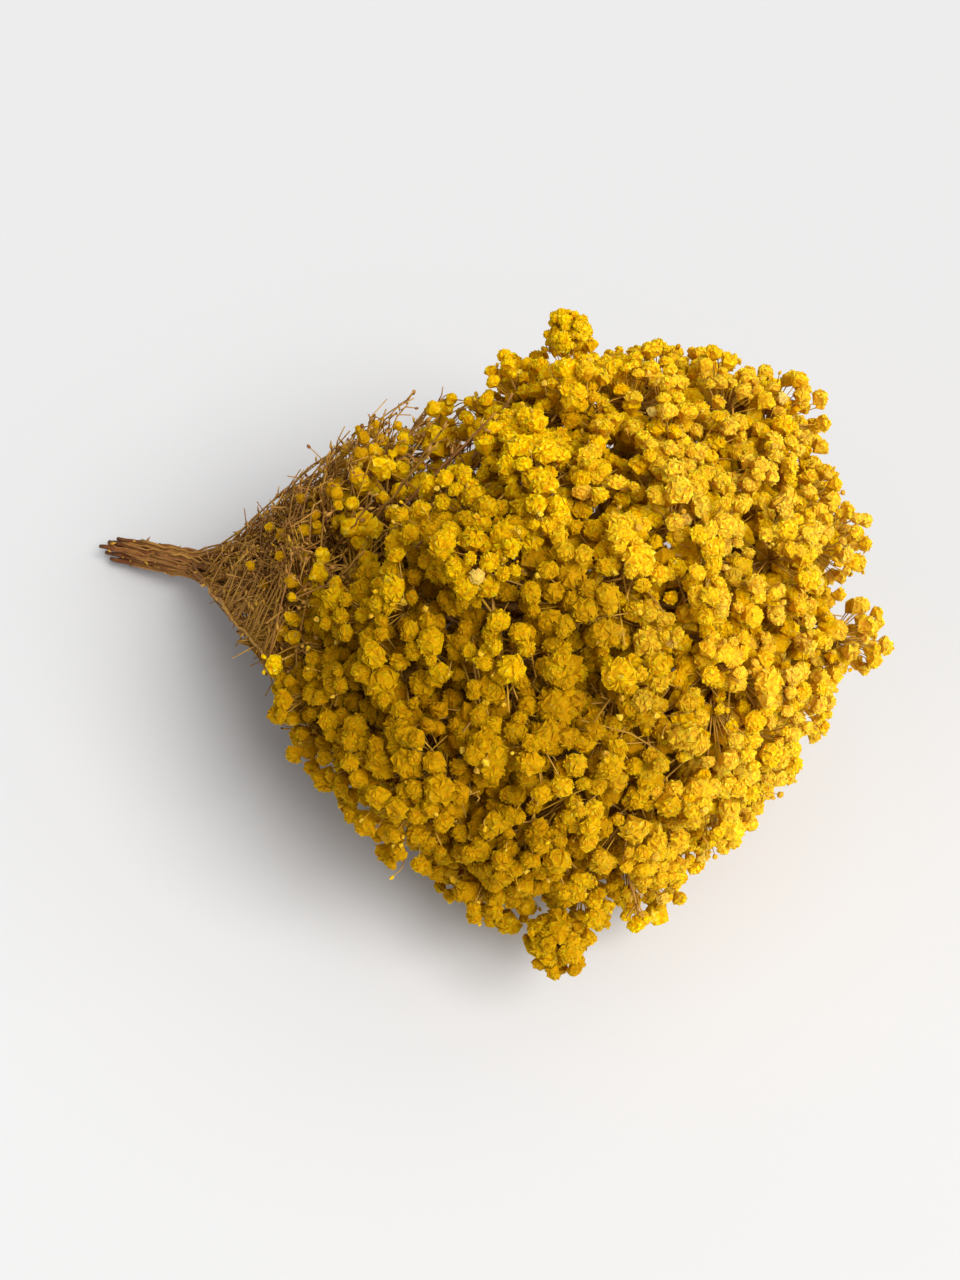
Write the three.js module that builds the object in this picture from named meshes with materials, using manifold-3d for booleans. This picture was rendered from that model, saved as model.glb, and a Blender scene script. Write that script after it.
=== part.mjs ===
// A bunch of dried gypsophila, dyed golden yellow, lying on its side: thin brown stems, cut off
// behind a narrow neck, fan out and fork inside a round crown of crumpled double flowers.
// Millimetres, +Z up, +X from the cut ends to the front of the crown.
import * as THREE from "three";
import { ConvexHull } from "three/addons/math/ConvexHull.js";
import { mergeVertices } from "three/addons/utils/BufferGeometryUtils.js";
import Module from "manifold-3d";

// Crown: an ellipsoid of flower heads, flattened by the surface that it lies on.
const CROWN_CENTRE = new THREE.Vector3(170, 0, 76.5);
const CROWN_HALF_SIZE = new THREE.Vector3(92, 111, 84);
const BULGE_WIDTH = 0.35;
const BULGES = [
  { towards: new THREE.Vector3(0.37, 0.78, 0.5), swell: 0.16 },
  { towards: new THREE.Vector3(0.36, -0.85, -0.38), swell: 0.09 },
  { towards: new THREE.Vector3(-0.15, -0.94, -0.3), swell: -0.08 },
  { towards: new THREE.Vector3(-0.78, -0.62, 0.06), swell: 0.08 },
];

// The crown is open behind, above the neck and at it, where the stems run in.
const OPENINGS = [
  { towards: new THREE.Vector3(-0.86, 0, 0.5).normalize(), angle: 0.6 },
  { towards: new THREE.Vector3(-0.95, 0, -0.25).normalize(), angle: 0.52 },
];

// Flower heads: depths are shares of the way from the crown's centre to its outside.
const HEADS = 41;
const HEAD_DEPTH = 0.84;
const HEAD_OUTSIDE = 0.96;
const HEAD_INSIDE = 7;
const HEAD_UNEVENNESS = 0.05;
const HEAD_RADIUS = 28;
const HEAD_REACH = 34;
const HEAD_GAP = 1.2;
const EDGE_ROUNDING = 8;
const RIM_WIDTH = 0.6;

// Clumps: low domes that the blooms of a head gather into.
const CLUMPS = 100;
const CLUMP_RADIUS = 20;
const CLUMP_DROP = 0.06;

// Blooms: each is a low crumpled dome, parted from the next by a valley. Heights are shares of
// the distance between blooms.
const BLOOM_PITCH = 11.2;
const INNER_PITCH = 22;
const INNER_SIDE = -0.3;
const BLOOM_RISE = 0.24;
const BLOOM_UNEVENNESS = 0.14;
const SHOULDER_AT = 0.6;
const SHOULDER_RISE = 0.8;
const VALLEY_DROP = 0.32;
const INNER_RELIEF = 0.3;

// Tufts: small heads on long twigs that stand clear of the crown.
const TUFTS = [
  { centre: new THREE.Vector3(130, 76, 135), radius: 9, pitch: 8 },
  { centre: new THREE.Vector3(259, 30, 83), radius: 11, pitch: 8 },
  { centre: new THREE.Vector3(211, -100, 44), radius: 11, pitch: 8 },
  { centre: new THREE.Vector3(232, -81, 47), radius: 5, pitch: 6 },
  { centre: new THREE.Vector3(88, -68, 86), radius: 5, pitch: 6, isFromNeck: true },
];
const TUFT_CLEARANCE = 2.4;
const STALK_RUN = 26;
const STALK_SPARE = 8;

// Stems.
const STEMS = 14;
const NECK = new THREE.Vector3(0, 0, 17.5);
const NECK_LENGTH = 6;
const STEM_SLOPE = THREE.MathUtils.degToRad(16.5);
const TAIL_LENGTH = 40;
const TAIL_UNEVENNESS = 4;
const STEM_RADIUS = 1.05;
const STEM_PITCH = 2.55;
const STEM_SIDES = 4;
const BUNDLE_TWIST = THREE.MathUtils.degToRad(16);
const STEM_CLEARANCE = 0.4;
const HEAD_CLEARANCE = 3;
const BEND_ROUNDS = 150;

// Branches: each ends square on the flat seat under its head, a hair's breadth away.
const FORK_AT = 0.55;
const FORK_RADIUS = 0.85;
const BRANCH_TIP_RADIUS = 0.6;
const BRANCH_SIDES = 4;
const BRANCH_PIECES = 3;
const BOW = 0.25;
const APPROACH = 8;
const SEAT_GAP = 0.3;
const SEAT_RUN = 7;

// Bare twigs: they leave the stems below the fork and end at the rim of the crown's openings,
// each with a side twig of its own.
const TWIGS = 34;
const TWIG_BAND = 0.3;
const TWIG_DEPTH = 0.82;
const TWIG_CROWDING = 12;
const TWIG_TURN = THREE.MathUtils.degToRad(30);
const TWIG_RADIUS = 0.6;
const TWIG_TIP_RADIUS = 0.45;
const TWIG_SIDES = 3;
const TWIG_PIECES = 2;
const TWIG_BOW = 0.35;
const SIDE_TWIG_LENGTH = 17;
const SIDE_TWIG_TURN = 0.6;

// Heads go to the same stem by the way that they lie from the neck more than by their distance.
const SPREAD_WEIGHT = 120;
const SHARE_DEPTH = 0.35;

// The origin is below the middle of the whole bunch.
const MIDDLE_X = 114.5;
const MIDDLE_Y = -1.3;

const CANDIDATES = 100;
const BLOOM_CANDIDATES = 50;
const WELD = 1e-4;
const FINEST_DETAIL = 0.08;
const SEED = 3;

const wasm = await Module();
wasm.setup();

// A generator of even draws from 0 to 1 that gives the same row of numbers each time.
function seededDraws(seed) {
  let state = seed;
  return () => {
    state = (state + 0x6d2b79f5) | 0;
    let mixed = Math.imul(state ^ (state >>> 15), 1 | state);
    mixed = (mixed + Math.imul(mixed ^ (mixed >>> 7), 61 | mixed)) ^ mixed;
    return ((mixed ^ (mixed >>> 14)) >>> 0) / 4294967296;
  };
}

// A direction drawn evenly from the whole sphere.
function drawDirection(draw) {
  const height = 2 * draw() - 1;
  const around = 2 * Math.PI * draw();
  const flat = Math.sqrt(1 - height * height);
  return new THREE.Vector3(flat * Math.cos(around), flat * Math.sin(around), height);
}

// Picks points one by one, each the candidate that is farthest from those already there.
function spreadPoints(count, candidates, drawPoint, distanceToTaken = () => Infinity) {
  const points = [];
  while (points.length < count) {
    let best = null;
    let bestDistance = -Infinity;
    for (let i = 0; i < candidates; i++) {
      const point = drawPoint();
      const nearest = Math.min(distanceTo(point, points), distanceToTaken(point));
      if (nearest > bestDistance) {
        best = point;
        bestDistance = nearest;
      }
    }
    points.push(best);
  }
  return points;
}

function distanceTo(point, points) {
  return points.reduce((least, other) => Math.min(least, other.distanceTo(point)), Infinity);
}

function indexOfNearest(point, points) {
  let best = 0;
  points.forEach((other, i) => {
    if (other.distanceTo(point) < points[best].distanceTo(point)) best = i;
  });
  return best;
}

function meanOf(points) {
  return points.reduce((sum, point) => sum.add(point), new THREE.Vector3()).divideScalar(points.length);
}

// How far the crown swells out in a direction, as a factor on its ellipsoid.
function swellTowards(direction) {
  return BULGES.reduce((swell, bulge) => {
    const off = direction.distanceTo(bulge.towards) / BULGE_WIDTH;
    return swell + bulge.swell * Math.exp(-off * off);
  }, 1);
}

// Where a point lies between the crown's centre, 0, and its outside, 1.
function crownDepth(point) {
  const scaled = point.clone().sub(CROWN_CENTRE).divide(CROWN_HALF_SIZE);
  const length = scaled.length();
  return length === 0 ? 0 : length / swellTowards(scaled.divideScalar(length));
}

// The point of the crown at a depth, in a direction of its unit sphere.
function crownPoint(direction, depth) {
  return direction
    .clone()
    .multiplyScalar(depth * swellTowards(direction))
    .multiply(CROWN_HALF_SIZE)
    .add(CROWN_CENTRE);
}

function crownDirection(point) {
  return point.clone().sub(CROWN_CENTRE).divide(CROWN_HALF_SIZE).normalize();
}

function outwardAt(point) {
  return crownDirection(point).divide(CROWN_HALF_SIZE).normalize();
}

// How far a direction lies outside the edge of the openings, as an angle.
function angleFromOpening(direction) {
  return Math.min(...OPENINGS.map((opening) => direction.angleTo(opening.towards) - opening.angle));
}

function drawCrownPoint(draw, depth) {
  let direction = drawDirection(draw);
  while (angleFromOpening(direction) < 0) direction = drawDirection(draw);
  return crownPoint(direction, depth);
}

// Moves each point to the middle of the part of the crown that is nearest to it.
function evenOut(points, depth, draw) {
  const rounds = 8;
  const samples = 3000;
  let even = points;
  for (let round = 0; round < rounds; round++) {
    const shares = even.map(() => []);
    for (let i = 0; i < samples; i++) {
      const sample = drawCrownPoint(draw, depth);
      shares[indexOfNearest(sample, even)].push(sample);
    }
    even = shares.map((share, i) =>
      share.length ? crownPoint(crownDirection(meanOf(share)), depth) : even[i],
    );
  }
  return even;
}

// How far a ray from inside the crown runs before it comes out at a depth.
function runToDepth(start, direction, limit) {
  const step = 8;
  let previous = crownDepth(start);
  for (let run = step; run <= 2 * HEAD_REACH; run += step) {
    const depth = crownDepth(start.clone().addScaledVector(direction, run));
    if (depth >= limit) return run - (step * (depth - limit)) / (depth - previous);
    previous = depth;
  }
  return Infinity;
}

// A least value that rounds off the corner between its terms.
function roundedLeast(values) {
  const smallest = 0.1;
  const terms = values.map((value) => Math.max(value, smallest) ** -EDGE_ROUNDING);
  const sum = terms.reduce((total, term) => total + term, 0);
  return sum ** (-1 / EDGE_ROUNDING);
}

// The domes of the crown's outside: highest over the nearest clump's middle.
function clumpDepth(point, clumps) {
  const off = Math.min(distanceTo(point, clumps) / CLUMP_RADIUS, 1);
  return HEAD_OUTSIDE - CLUMP_DROP * off * off;
}

// Flower heads of the crown, each with its centre, its directions and its share of space.
function placeHeads(draw) {
  const stalks = TUFTS.map((tuft) => crownPoint(crownDirection(tuft.centre), HEAD_DEPTH));
  const drawn = spreadPoints(
    HEADS,
    CANDIDATES,
    () => drawCrownPoint(draw, HEAD_DEPTH),
    (point) => distanceTo(point, stalks) + STALK_SPARE,
  );
  const main = evenOut(drawn, HEAD_DEPTH, draw).map((centre) => ({
    centre,
    radius: HEAD_RADIUS,
    reach: HEAD_REACH,
    pitch: BLOOM_PITCH,
    swell: 1 + HEAD_UNEVENNESS * (2 * draw() - 1),
    isTuft: false,
  }));
  const tufts = TUFTS.map((tuft) => ({
    centre: tuft.centre,
    radius: tuft.radius + TUFT_CLEARANCE,
    reach: tuft.radius,
    pitch: tuft.pitch,
    swell: 1,
    isTuft: true,
    isFromNeck: tuft.isFromNeck === true,
  }));
  for (const head of [...main, ...tufts]) head.outward = outwardAt(head.centre);
  for (const head of tufts) head.seatDirection = wayIn(head, Number(head.isFromNeck));
  return [...main, ...tufts];
}

// The way from a head to where its branch comes in, between straight from inside the crown, 0, and
// straight from the neck, 1.
function wayIn(head, neckShare) {
  const toNeck = NECK.clone().sub(head.centre).normalize();
  return head.outward.clone().negate().lerp(toNeck, neckShare).normalize();
}

// The way in of a head: the nearer to the rim of the opening, the more from the neck, as long as
// no other head stands in the way.
function clearWayIn(head, heads, clumps) {
  const steps = 8;
  const rimShare = 1 - angleFromOpening(crownDirection(head.centre)) / RIM_WIDTH;
  const neckShare = THREE.MathUtils.clamp(rimShare, 0, 1);
  let best = null;
  for (let step = 0; step <= steps; step++) {
    const direction = wayIn(head, (neckShare * (steps - step)) / steps);
    const space = spaceAlong(head, direction, heads, clumps);
    if (!best || space > best.space) best = { direction, space };
    if (space >= HEAD_CLEARANCE) break;
  }
  return best.direction;
}

// The least space between the other heads and a branch that comes straight in to a head.
function spaceAlong(head, direction, heads, clumps) {
  const seat = surfacePoint(head, direction, 0, clumps);
  const others = heads.filter((other) => other !== head);
  return Math.min(
    ...[0, 0.5, 1].flatMap((share) => {
      const point = seat.clone().addScaledVector(direction, share * (SEAT_RUN + APPROACH));
      return others.map((other) => spaceTo(other, point, clumps));
    }),
  );
}

// The space between a point and a head's highest blooms, along the line to the head's centre.
function spaceTo(head, point, clumps) {
  const rise = head.pitch * (BLOOM_RISE + BLOOM_UNEVENNESS);
  const offset = point.clone().sub(head.centre);
  const distance = offset.length();
  const reach = head.reach + rise;
  if (distance > reach + HEAD_CLEARANCE) return distance - reach;
  return distance - bodyReach(head, offset.divideScalar(distance), clumps, rise);
}

// The flat walls that keep a head to its own share of the crown.
function wallsOf(head, heads) {
  const walls = [];
  if (!head.isTuft) walls.push({ normal: head.outward.clone().negate(), distance: HEAD_INSIDE });
  for (const other of heads) {
    if (other === head) continue;
    const towards = other.centre.clone().sub(head.centre);
    const apart = towards.length();
    const share = (apart * head.radius) / (head.radius + other.radius);
    walls.push({ normal: towards.divideScalar(apart), distance: share - HEAD_GAP / 2 });
    if (other.isTuft && !head.isTuft) walls.push(stalkWall(head, other));
  }
  return walls;
}

// The wall that keeps a head off the stalk of a tuft that comes out beside it.
function stalkWall(head, tuft) {
  const offset = tuft.centre.clone().sub(head.centre);
  offset.addScaledVector(tuft.seatDirection, -offset.dot(tuft.seatDirection));
  const apart = offset.length();
  return { normal: offset.divideScalar(apart), distance: apart - TUFT_CLEARANCE };
}

// How far a head reaches from its centre in a direction, with its crown side raised by a relief.
function bodyReach(head, direction, clumps, relief = 0) {
  const terms = [head.reach + relief, wallReach(head, direction) + Math.min(relief, 0)];
  const run = head.isTuft ? Infinity : runToDepth(head.centre, direction, 1);
  if (run < Infinity) {
    const outside = head.centre.clone().addScaledVector(direction, run);
    const limit = clumpDepth(outside, clumps) * head.swell + relief / CROWN_HALF_SIZE.x;
    terms.push(runToDepth(head.centre, direction, limit));
  }
  return roundedLeast(terms);
}

// A point of a head's surface, with a bloom's relief, pressed flat where it would pass through the
// surface that the bunch lies on.
function surfacePoint(head, direction, relief, clumps) {
  const floorReach = direction.z < 0 ? head.centre.z / -direction.z : Infinity;
  const reach = Math.min(bodyReach(head, direction, clumps, relief), floorReach);
  const point = head.centre.clone().addScaledVector(direction, Math.max(reach, 1));
  if (reach === floorReach) point.z = 0;
  return point;
}

// How far a head may reach in a direction before it comes to a wall.
function wallReach(head, direction) {
  return head.walls.reduce((least, wall) => {
    const facing = wall.normal.dot(direction);
    return facing > 0 ? Math.min(least, wall.distance / facing) : least;
  }, Infinity);
}

// The blooms of a head, seen from its centre. The first is the seat of its branch.
function spreadBlooms(head, draw, clumps) {
  const seat = head.seatDirection;
  const blooms = [{ direction: seat, point: surfacePoint(head, seat, 0, clumps), isInner: true }];
  for (;;) {
    let best = null;
    for (let i = 0; i < BLOOM_CANDIDATES; i++) {
      const direction = drawDirection(draw);
      const point = surfacePoint(head, direction, 0, clumps);
      const isInner = !head.isTuft && direction.dot(head.outward) < INNER_SIDE;
      const pitch = isInner ? INNER_PITCH : head.pitch;
      const nearest = Math.min(...blooms.map((bloom) => bloom.point.distanceTo(point))) / pitch;
      if (!best || nearest > best.nearest) best = { direction, point, isInner, nearest };
    }
    if (best.nearest < 1) return blooms;
    blooms.push(best);
  }
}

// The corners where three neighbouring blooms meet, with the blooms that share each.
function bloomCorners(blooms, centre) {
  const directions = blooms.map((bloom) => bloom.direction);
  const hull = new ConvexHull().setFromPoints(directions);
  return hull.faces.map((face) => {
    const sharing = [];
    let edge = face.edge;
    do {
      sharing.push(directions.indexOf(edge.head().point));
      edge = edge.next;
    } while (edge !== face.edge);
    const middle = meanOf(sharing.map((index) => blooms[index].point));
    return { direction: middle.sub(centre).normalize(), sharing };
  });
}

// Corners round one bloom, anticlockwise as seen from outside.
function ringAround(direction, corners) {
  const side = new THREE.Vector3(0, 0, 1).cross(direction).normalize();
  const up = direction.clone().cross(side);
  const angle = (corner) => Math.atan2(corner.direction.dot(up), corner.direction.dot(side));
  return [...corners].sort((a, b) => angle(a) - angle(b));
}

// One head: a closed surface seen whole from its centre, with a dome raised for each bloom.
function flowerHead(head, draw, clumps) {
  const blooms = spreadBlooms(head, draw, clumps);
  const corners = bloomCorners(blooms, head.centre);
  const points = [];
  const triangles = [];
  const addPoint = (point) => points.push(point) - 1;
  for (const corner of corners) {
    const isInner = corner.sharing.every((index) => blooms[index].isInner);
    const drop = head.pitch * VALLEY_DROP * (isInner ? INNER_RELIEF : 1);
    corner.index = addPoint(surfacePoint(head, corner.direction, -drop, clumps));
  }
  blooms.forEach((bloom, bloomIndex) => {
    const isSeat = bloomIndex === 0;
    const ring = ringAround(
      bloom.direction,
      corners.filter((corner) => corner.sharing.includes(bloomIndex)),
    );
    const rise = head.pitch * (BLOOM_RISE + BLOOM_UNEVENNESS * (2 * draw() - 1));
    const topRise = bloom.isInner ? 0 : rise;
    const top = isSeat ? bloom.point : surfacePoint(head, bloom.direction, topRise, clumps);
    const topIndex = addPoint(top);
    if (bloom.isInner && !isSeat) {
      ring.forEach((corner, i) => {
        triangles.push(topIndex, corner.index, ring[(i + 1) % ring.length].index);
      });
      return;
    }
    const shoulders = ring.map((corner) => {
      const direction = bloom.direction.clone().lerp(corner.direction, SHOULDER_AT).normalize();
      if (isSeat) return addPoint(seatPoint(head, top, direction, clumps));
      return addPoint(surfacePoint(head, direction, rise * SHOULDER_RISE, clumps));
    });
    ring.forEach((corner, i) => {
      const next = (i + 1) % ring.length;
      triangles.push(topIndex, shoulders[i], shoulders[next]);
      triangles.push(shoulders[i], corner.index, ring[next].index);
      triangles.push(shoulders[i], ring[next].index, shoulders[next]);
    });
  });
  head.seat = blooms[0].point;
  const geometry = new THREE.BufferGeometry().setFromPoints(points);
  geometry.setIndex(triangles);
  return geometry;
}

// A point of the flat seat in a direction from the head's centre, or of the head below the seat.
function seatPoint(head, seat, direction, clumps) {
  const facing = direction.dot(head.seatDirection);
  const flatReach = facing > 0 ? seat.distanceTo(head.centre) / facing : Infinity;
  const reach = Math.min(flatReach, bodyReach(head, direction, clumps));
  return head.centre.clone().addScaledVector(direction, reach);
}

// The directions of the bundle at the neck: along it, across it and up from it.
const ALONG = new THREE.Vector3(Math.cos(STEM_SLOPE), 0, Math.sin(STEM_SLOPE));
const ACROSS = new THREE.Vector3(0, 1, 0);
const UP = new THREE.Vector3().crossVectors(ALONG, ACROSS);

// Where a head's branch comes from: some way out from its seat.
function approachTo(head) {
  return head.seat.clone().addScaledVector(head.seatDirection, APPROACH);
}

// Shares the heads out among the stems: those that lie the same way from the neck go together.
function shareHeads(heads, draw) {
  const rounds = 20;
  const places = heads.map((head) => {
    const fromNeck = approachTo(head).sub(NECK);
    return fromNeck.setLength(SPREAD_WEIGHT + SHARE_DEPTH * fromNeck.length());
  });
  const drawPlace = () => places[Math.floor(draw() * places.length)];
  let middles = spreadPoints(STEMS, CANDIDATES, drawPlace);
  let shares = [];
  for (let round = 0; round < rounds; round++) {
    shares = middles.map(() => []);
    places.forEach((place, i) => shares[indexOfNearest(place, middles)].push(i));
    middles = shares.map((share, i) => (share.length ? meanOf(share.map((j) => places[j])) : middles[i]));
  }
  return shares.map((share) => share.map((i) => heads[i]));
}

// Places of the stems in the bundle: each on the side that it goes to, packed round.
function packBundle(targets) {
  const rounds = 400;
  const pull = 0.985;
  const slots = targets.map((target) => {
    const towards = target.clone().sub(NECK).normalize();
    return new THREE.Vector2(towards.dot(ACROSS), towards.dot(UP)).multiplyScalar(3 * STEM_PITCH);
  });
  for (let round = 0; round < rounds; round++) {
    slots.forEach((slot) => slot.multiplyScalar(pull));
    slots.forEach((slot, i) => slots.slice(i + 1).forEach((other) => pushApart(slot, other)));
  }
  return slots;
}

function pushApart(slot, other) {
  const between = other.clone().sub(slot);
  const short = STEM_PITCH - between.length();
  if (short <= 0) return;
  between.setLength(short / 2);
  slot.sub(between);
  other.add(between);
}

function bundlePoint(slot, along, turn) {
  const turned = slot.clone().rotateAround(new THREE.Vector2(), turn);
  return NECK.clone()
    .addScaledVector(ALONG, along)
    .addScaledVector(ACROSS, turned.x)
    .addScaledVector(UP, turned.y);
}

// The route of a branch: from the fork in a bow to the head's seat, which it meets square.
function branchRoute(fork, head) {
  const end = head.seat.clone().addScaledVector(head.seatDirection, SEAT_GAP);
  const run = head.isTuft ? STALK_RUN : SEAT_RUN;
  const straight = end.clone().addScaledVector(head.seatDirection, run);
  const bow = straight.clone().addScaledVector(head.seatDirection, BOW * fork.distanceTo(straight));
  const points = new THREE.QuadraticBezierCurve3(fork, bow, straight).getPoints(BRANCH_PIECES);
  points[0] = fork;
  return { head, points: [...points, end], fixed: [straight, end] };
}

// The route of one stem: its trunk through the neck to the fork, and a branch to each head.
function stemRoutes(heads, slot, draw) {
  const tail = TAIL_LENGTH + TAIL_UNEVENNESS * (2 * draw() - 1);
  const neck = bundlePoint(slot, 0, 0);
  const leave = bundlePoint(slot, NECK_LENGTH, 0);
  const fork = leave.clone().lerp(meanOf(heads.map(approachTo)), FORK_AT);
  const roots = [0.25, 0.5, 0.75].map((share) => leave.clone().lerp(fork, share));
  const tailEnd = bundlePoint(slot, -tail, -BUNDLE_TWIST);
  const trunk = { points: [tailEnd, neck, leave, ...roots, fork], fixed: [tailEnd, neck, leave] };
  return { trunk, fork, roots, branches: heads.map((head) => branchRoute(fork, head)), twigs: [] };
}

// A tip for a bare twig, in the band of the openings next to their rim.
function drawTwigTip(draw) {
  let direction = drawDirection(draw);
  const isInBand = () => Math.abs(angleFromOpening(direction) + TWIG_BAND / 2) < TWIG_BAND / 2;
  while (!isInBand()) direction = drawDirection(draw);
  return crownPoint(direction, THREE.MathUtils.lerp(TWIG_DEPTH, 1, draw()));
}

// Grows a bare twig and its side twig to a tip, from a stem whose fork is near and which has few
// twigs yet: from the highest place on it that needs no sharp turn.
function growTwig(tip, stems, draw) {
  const cost = (stem) => stem.fork.distanceTo(tip) + TWIG_CROWDING * stem.twigs.length;
  const stem = stems.reduce((best, other) => (cost(other) < cost(best) ? other : best));
  const along = stem.fork.clone().sub(stem.roots[0]).normalize();
  const gentle = stem.roots.filter((root) => tip.clone().sub(root).angleTo(along) < TWIG_TURN);
  const root = gentle.length ? gentle[gentle.length - 1] : stem.roots[0];
  const points = twigPoints(root, along, tip);
  const joint = points[TWIG_PIECES - 1];
  const onward = tip.clone().sub(joint).normalize();
  const sideways = onward.clone().addScaledVector(drawDirection(draw), SIDE_TWIG_TURN).normalize();
  const sideTip = joint.clone().addScaledVector(sideways, SIDE_TWIG_LENGTH);
  stem.twigs.push({ points, fixed: [] }, { points: [joint, sideTip], fixed: [] });
}

// Points of a twig that leaves a root along a direction and bends towards its tip.
function twigPoints(root, along, tip) {
  const bow = root.clone().addScaledVector(along, TWIG_BOW * root.distanceTo(tip));
  const points = new THREE.QuadraticBezierCurve3(root, bow, tip).getPoints(TWIG_PIECES);
  points[0] = root;
  return points;
}

// The nearest places of two straight pieces a-b and c-d, as shares of their lengths.
function nearestShares(a, b, c, d) {
  const first = b.clone().sub(a);
  const second = d.clone().sub(c);
  const between = a.clone().sub(c);
  const firstLength = first.lengthSq();
  const secondLength = second.lengthSq();
  const both = first.dot(second);
  const alongFirst = first.dot(between);
  const alongSecond = second.dot(between);
  const spread = firstLength * secondLength - both * both;
  const limit = (value) => THREE.MathUtils.clamp(value, 0, 1);
  let s = spread > 1e-9 ? limit((both * alongSecond - alongFirst * secondLength) / spread) : 0;
  const t = limit((both * s + alongSecond) / secondLength);
  s = limit((both * t - alongFirst) / firstLength);
  return [s, t];
}

// Bends the routes of different stems clear of each other and of all heads but their own.
function bendClear(routes, heads, clumps) {
  const pieces = routes.flatMap((route) =>
    route.points.slice(1).map((end, i) => ({ start: route.points[i], end, route })),
  );
  const fixed = new Set(routes.flatMap((route) => route.fixed));
  const free = new Set(routes.flatMap((route) => route.points).filter((point) => !fixed.has(point)));
  for (let round = 0; round < BEND_ROUNDS; round++) {
    pieces.forEach((piece, i) =>
      pieces.slice(i + 1).forEach((other) => {
        if (other.route.stem !== piece.route.stem) partPieces(piece, other, free);
      }),
    );
    for (const piece of pieces) keepOffHeads(piece, free, heads, clumps);
  }
}

function partPieces(piece, other, free) {
  const [s, t] = nearestShares(piece.start, piece.end, other.start, other.end);
  const here = piece.start.clone().lerp(piece.end, s);
  const push = here.clone().sub(other.start.clone().lerp(other.end, t));
  const short = 2 * STEM_RADIUS + STEM_CLEARANCE - push.length();
  if (short <= 0) return;
  push.setLength(short / 2);
  if (free.has(piece.start)) piece.start.addScaledVector(push, 1 - s);
  if (free.has(piece.end)) piece.end.addScaledVector(push, s);
  if (free.has(other.start)) other.start.addScaledVector(push, t - 1);
  if (free.has(other.end)) other.end.addScaledVector(push, -t);
}

// Moves a piece of a route that runs into a head to that head's inner side.
function keepOffHeads(piece, free, heads, clumps) {
  if (!free.has(piece.start) && !free.has(piece.end)) return;
  for (const share of [0.25, 0.5, 0.75, 1]) {
    const point = piece.start.clone().lerp(piece.end, share);
    for (const head of heads) {
      if (head === piece.route.head) continue;
      const short = HEAD_CLEARANCE - spaceTo(head, point, clumps);
      if (short <= 0) continue;
      if (free.has(piece.start)) piece.start.addScaledVector(head.outward, -short / 2);
      if (free.has(piece.end)) piece.end.addScaledVector(head.outward, -short / 2);
    }
  }
}

// A closed solid from a geometry, for joining.
function solidOf(geometry) {
  const bare = new THREE.BufferGeometry().setAttribute("position", geometry.getAttribute("position"));
  const merged = mergeVertices(bare, WELD);
  return new wasm.Manifold(
    new wasm.Mesh({
      numProp: 3,
      vertProperties: merged.attributes.position.array,
      triVerts: new Uint32Array(merged.index.array),
    }),
  );
}

function geometryOf(solid) {
  const mesh = solid.getMesh();
  const geometry = new THREE.BufferGeometry();
  geometry.setAttribute("position", new THREE.BufferAttribute(mesh.vertProperties, 3));
  geometry.setIndex(new THREE.BufferAttribute(mesh.triVerts, 1));
  return geometry;
}

// A path of straight pieces, each an equal share of it, that turns halfway at each point.
class Route extends THREE.Curve {
  constructor(points) {
    super();
    this.points = points;
  }

  getPoint(share) {
    return this.points[Math.round(share * (this.points.length - 1))].clone();
  }

  getTangent(share) {
    const last = this.points.length - 1;
    const here = Math.round(share * last);
    const at = this.points[here];
    const coming = at.clone().sub(this.points[Math.max(here - 1, 0)]).normalize();
    const going = this.points[Math.min(here + 1, last)].clone().sub(at).normalize();
    return coming.add(going).normalize();
  }

  getUtoTmapping(share) {
    return share;
  }
}

// A stem's length through the points, with flat sides, narrowing from one radius to another.
function taperedStem(points, startRadius, endRadius, sides) {
  const outline = new THREE.Shape();
  for (let i = 0; i < sides; i++) {
    const angle = (2 * Math.PI * i) / sides;
    const corner = new THREE.Vector2(startRadius * Math.cos(angle), startRadius * Math.sin(angle));
    if (i === 0) outline.moveTo(corner.x, corner.y);
    else outline.lineTo(corner.x, corner.y);
  }
  const steps = points.length - 1;
  const geometry = new THREE.ExtrudeGeometry(outline, {
    steps,
    extrudePath: new Route(points),
    bevelEnabled: false,
  });
  const position = geometry.getAttribute("position");
  const corner = new THREE.Vector3();
  for (let i = 0; i < position.count; i++) {
    corner.fromBufferAttribute(position, i);
    const station = indexOfNearest(corner, points);
    const share = THREE.MathUtils.lerp(1, endRadius / startRadius, station / steps);
    corner.sub(points[station]).multiplyScalar(share).add(points[station]);
    position.setXYZ(i, corner.x, corner.y, corner.z);
  }
  return solidOf(geometry);
}

// One stem with its branches.
function stemGeometry(routes) {
  let solid = taperedStem(routes.trunk.points, STEM_RADIUS, FORK_RADIUS, STEM_SIDES);
  for (const branch of routes.branches) {
    solid = solid.add(taperedStem(branch.points, FORK_RADIUS, BRANCH_TIP_RADIUS, BRANCH_SIDES));
  }
  for (const twig of routes.twigs) {
    solid = solid.add(taperedStem(twig.points, TWIG_RADIUS, TWIG_TIP_RADIUS, TWIG_SIDES));
  }
  const [largest] = solid
    .simplify(FINEST_DETAIL)
    .decompose()
    .sort((a, b) => b.volume() - a.volume());
  return geometryOf(largest);
}

function flowerMaterial() {
  return new THREE.MeshStandardMaterial({ color: 0xe0b008, roughness: 0.9, metalness: 0 });
}

function stemMaterial() {
  return new THREE.MeshStandardMaterial({ color: 0x8a5a30, roughness: 0.8, metalness: 0 });
}

function namedMesh(name, number, geometry, material) {
  const mesh = new THREE.Mesh(geometry, material);
  mesh.name = name + "_" + String(number).padStart(2, "0");
  return mesh;
}

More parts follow.
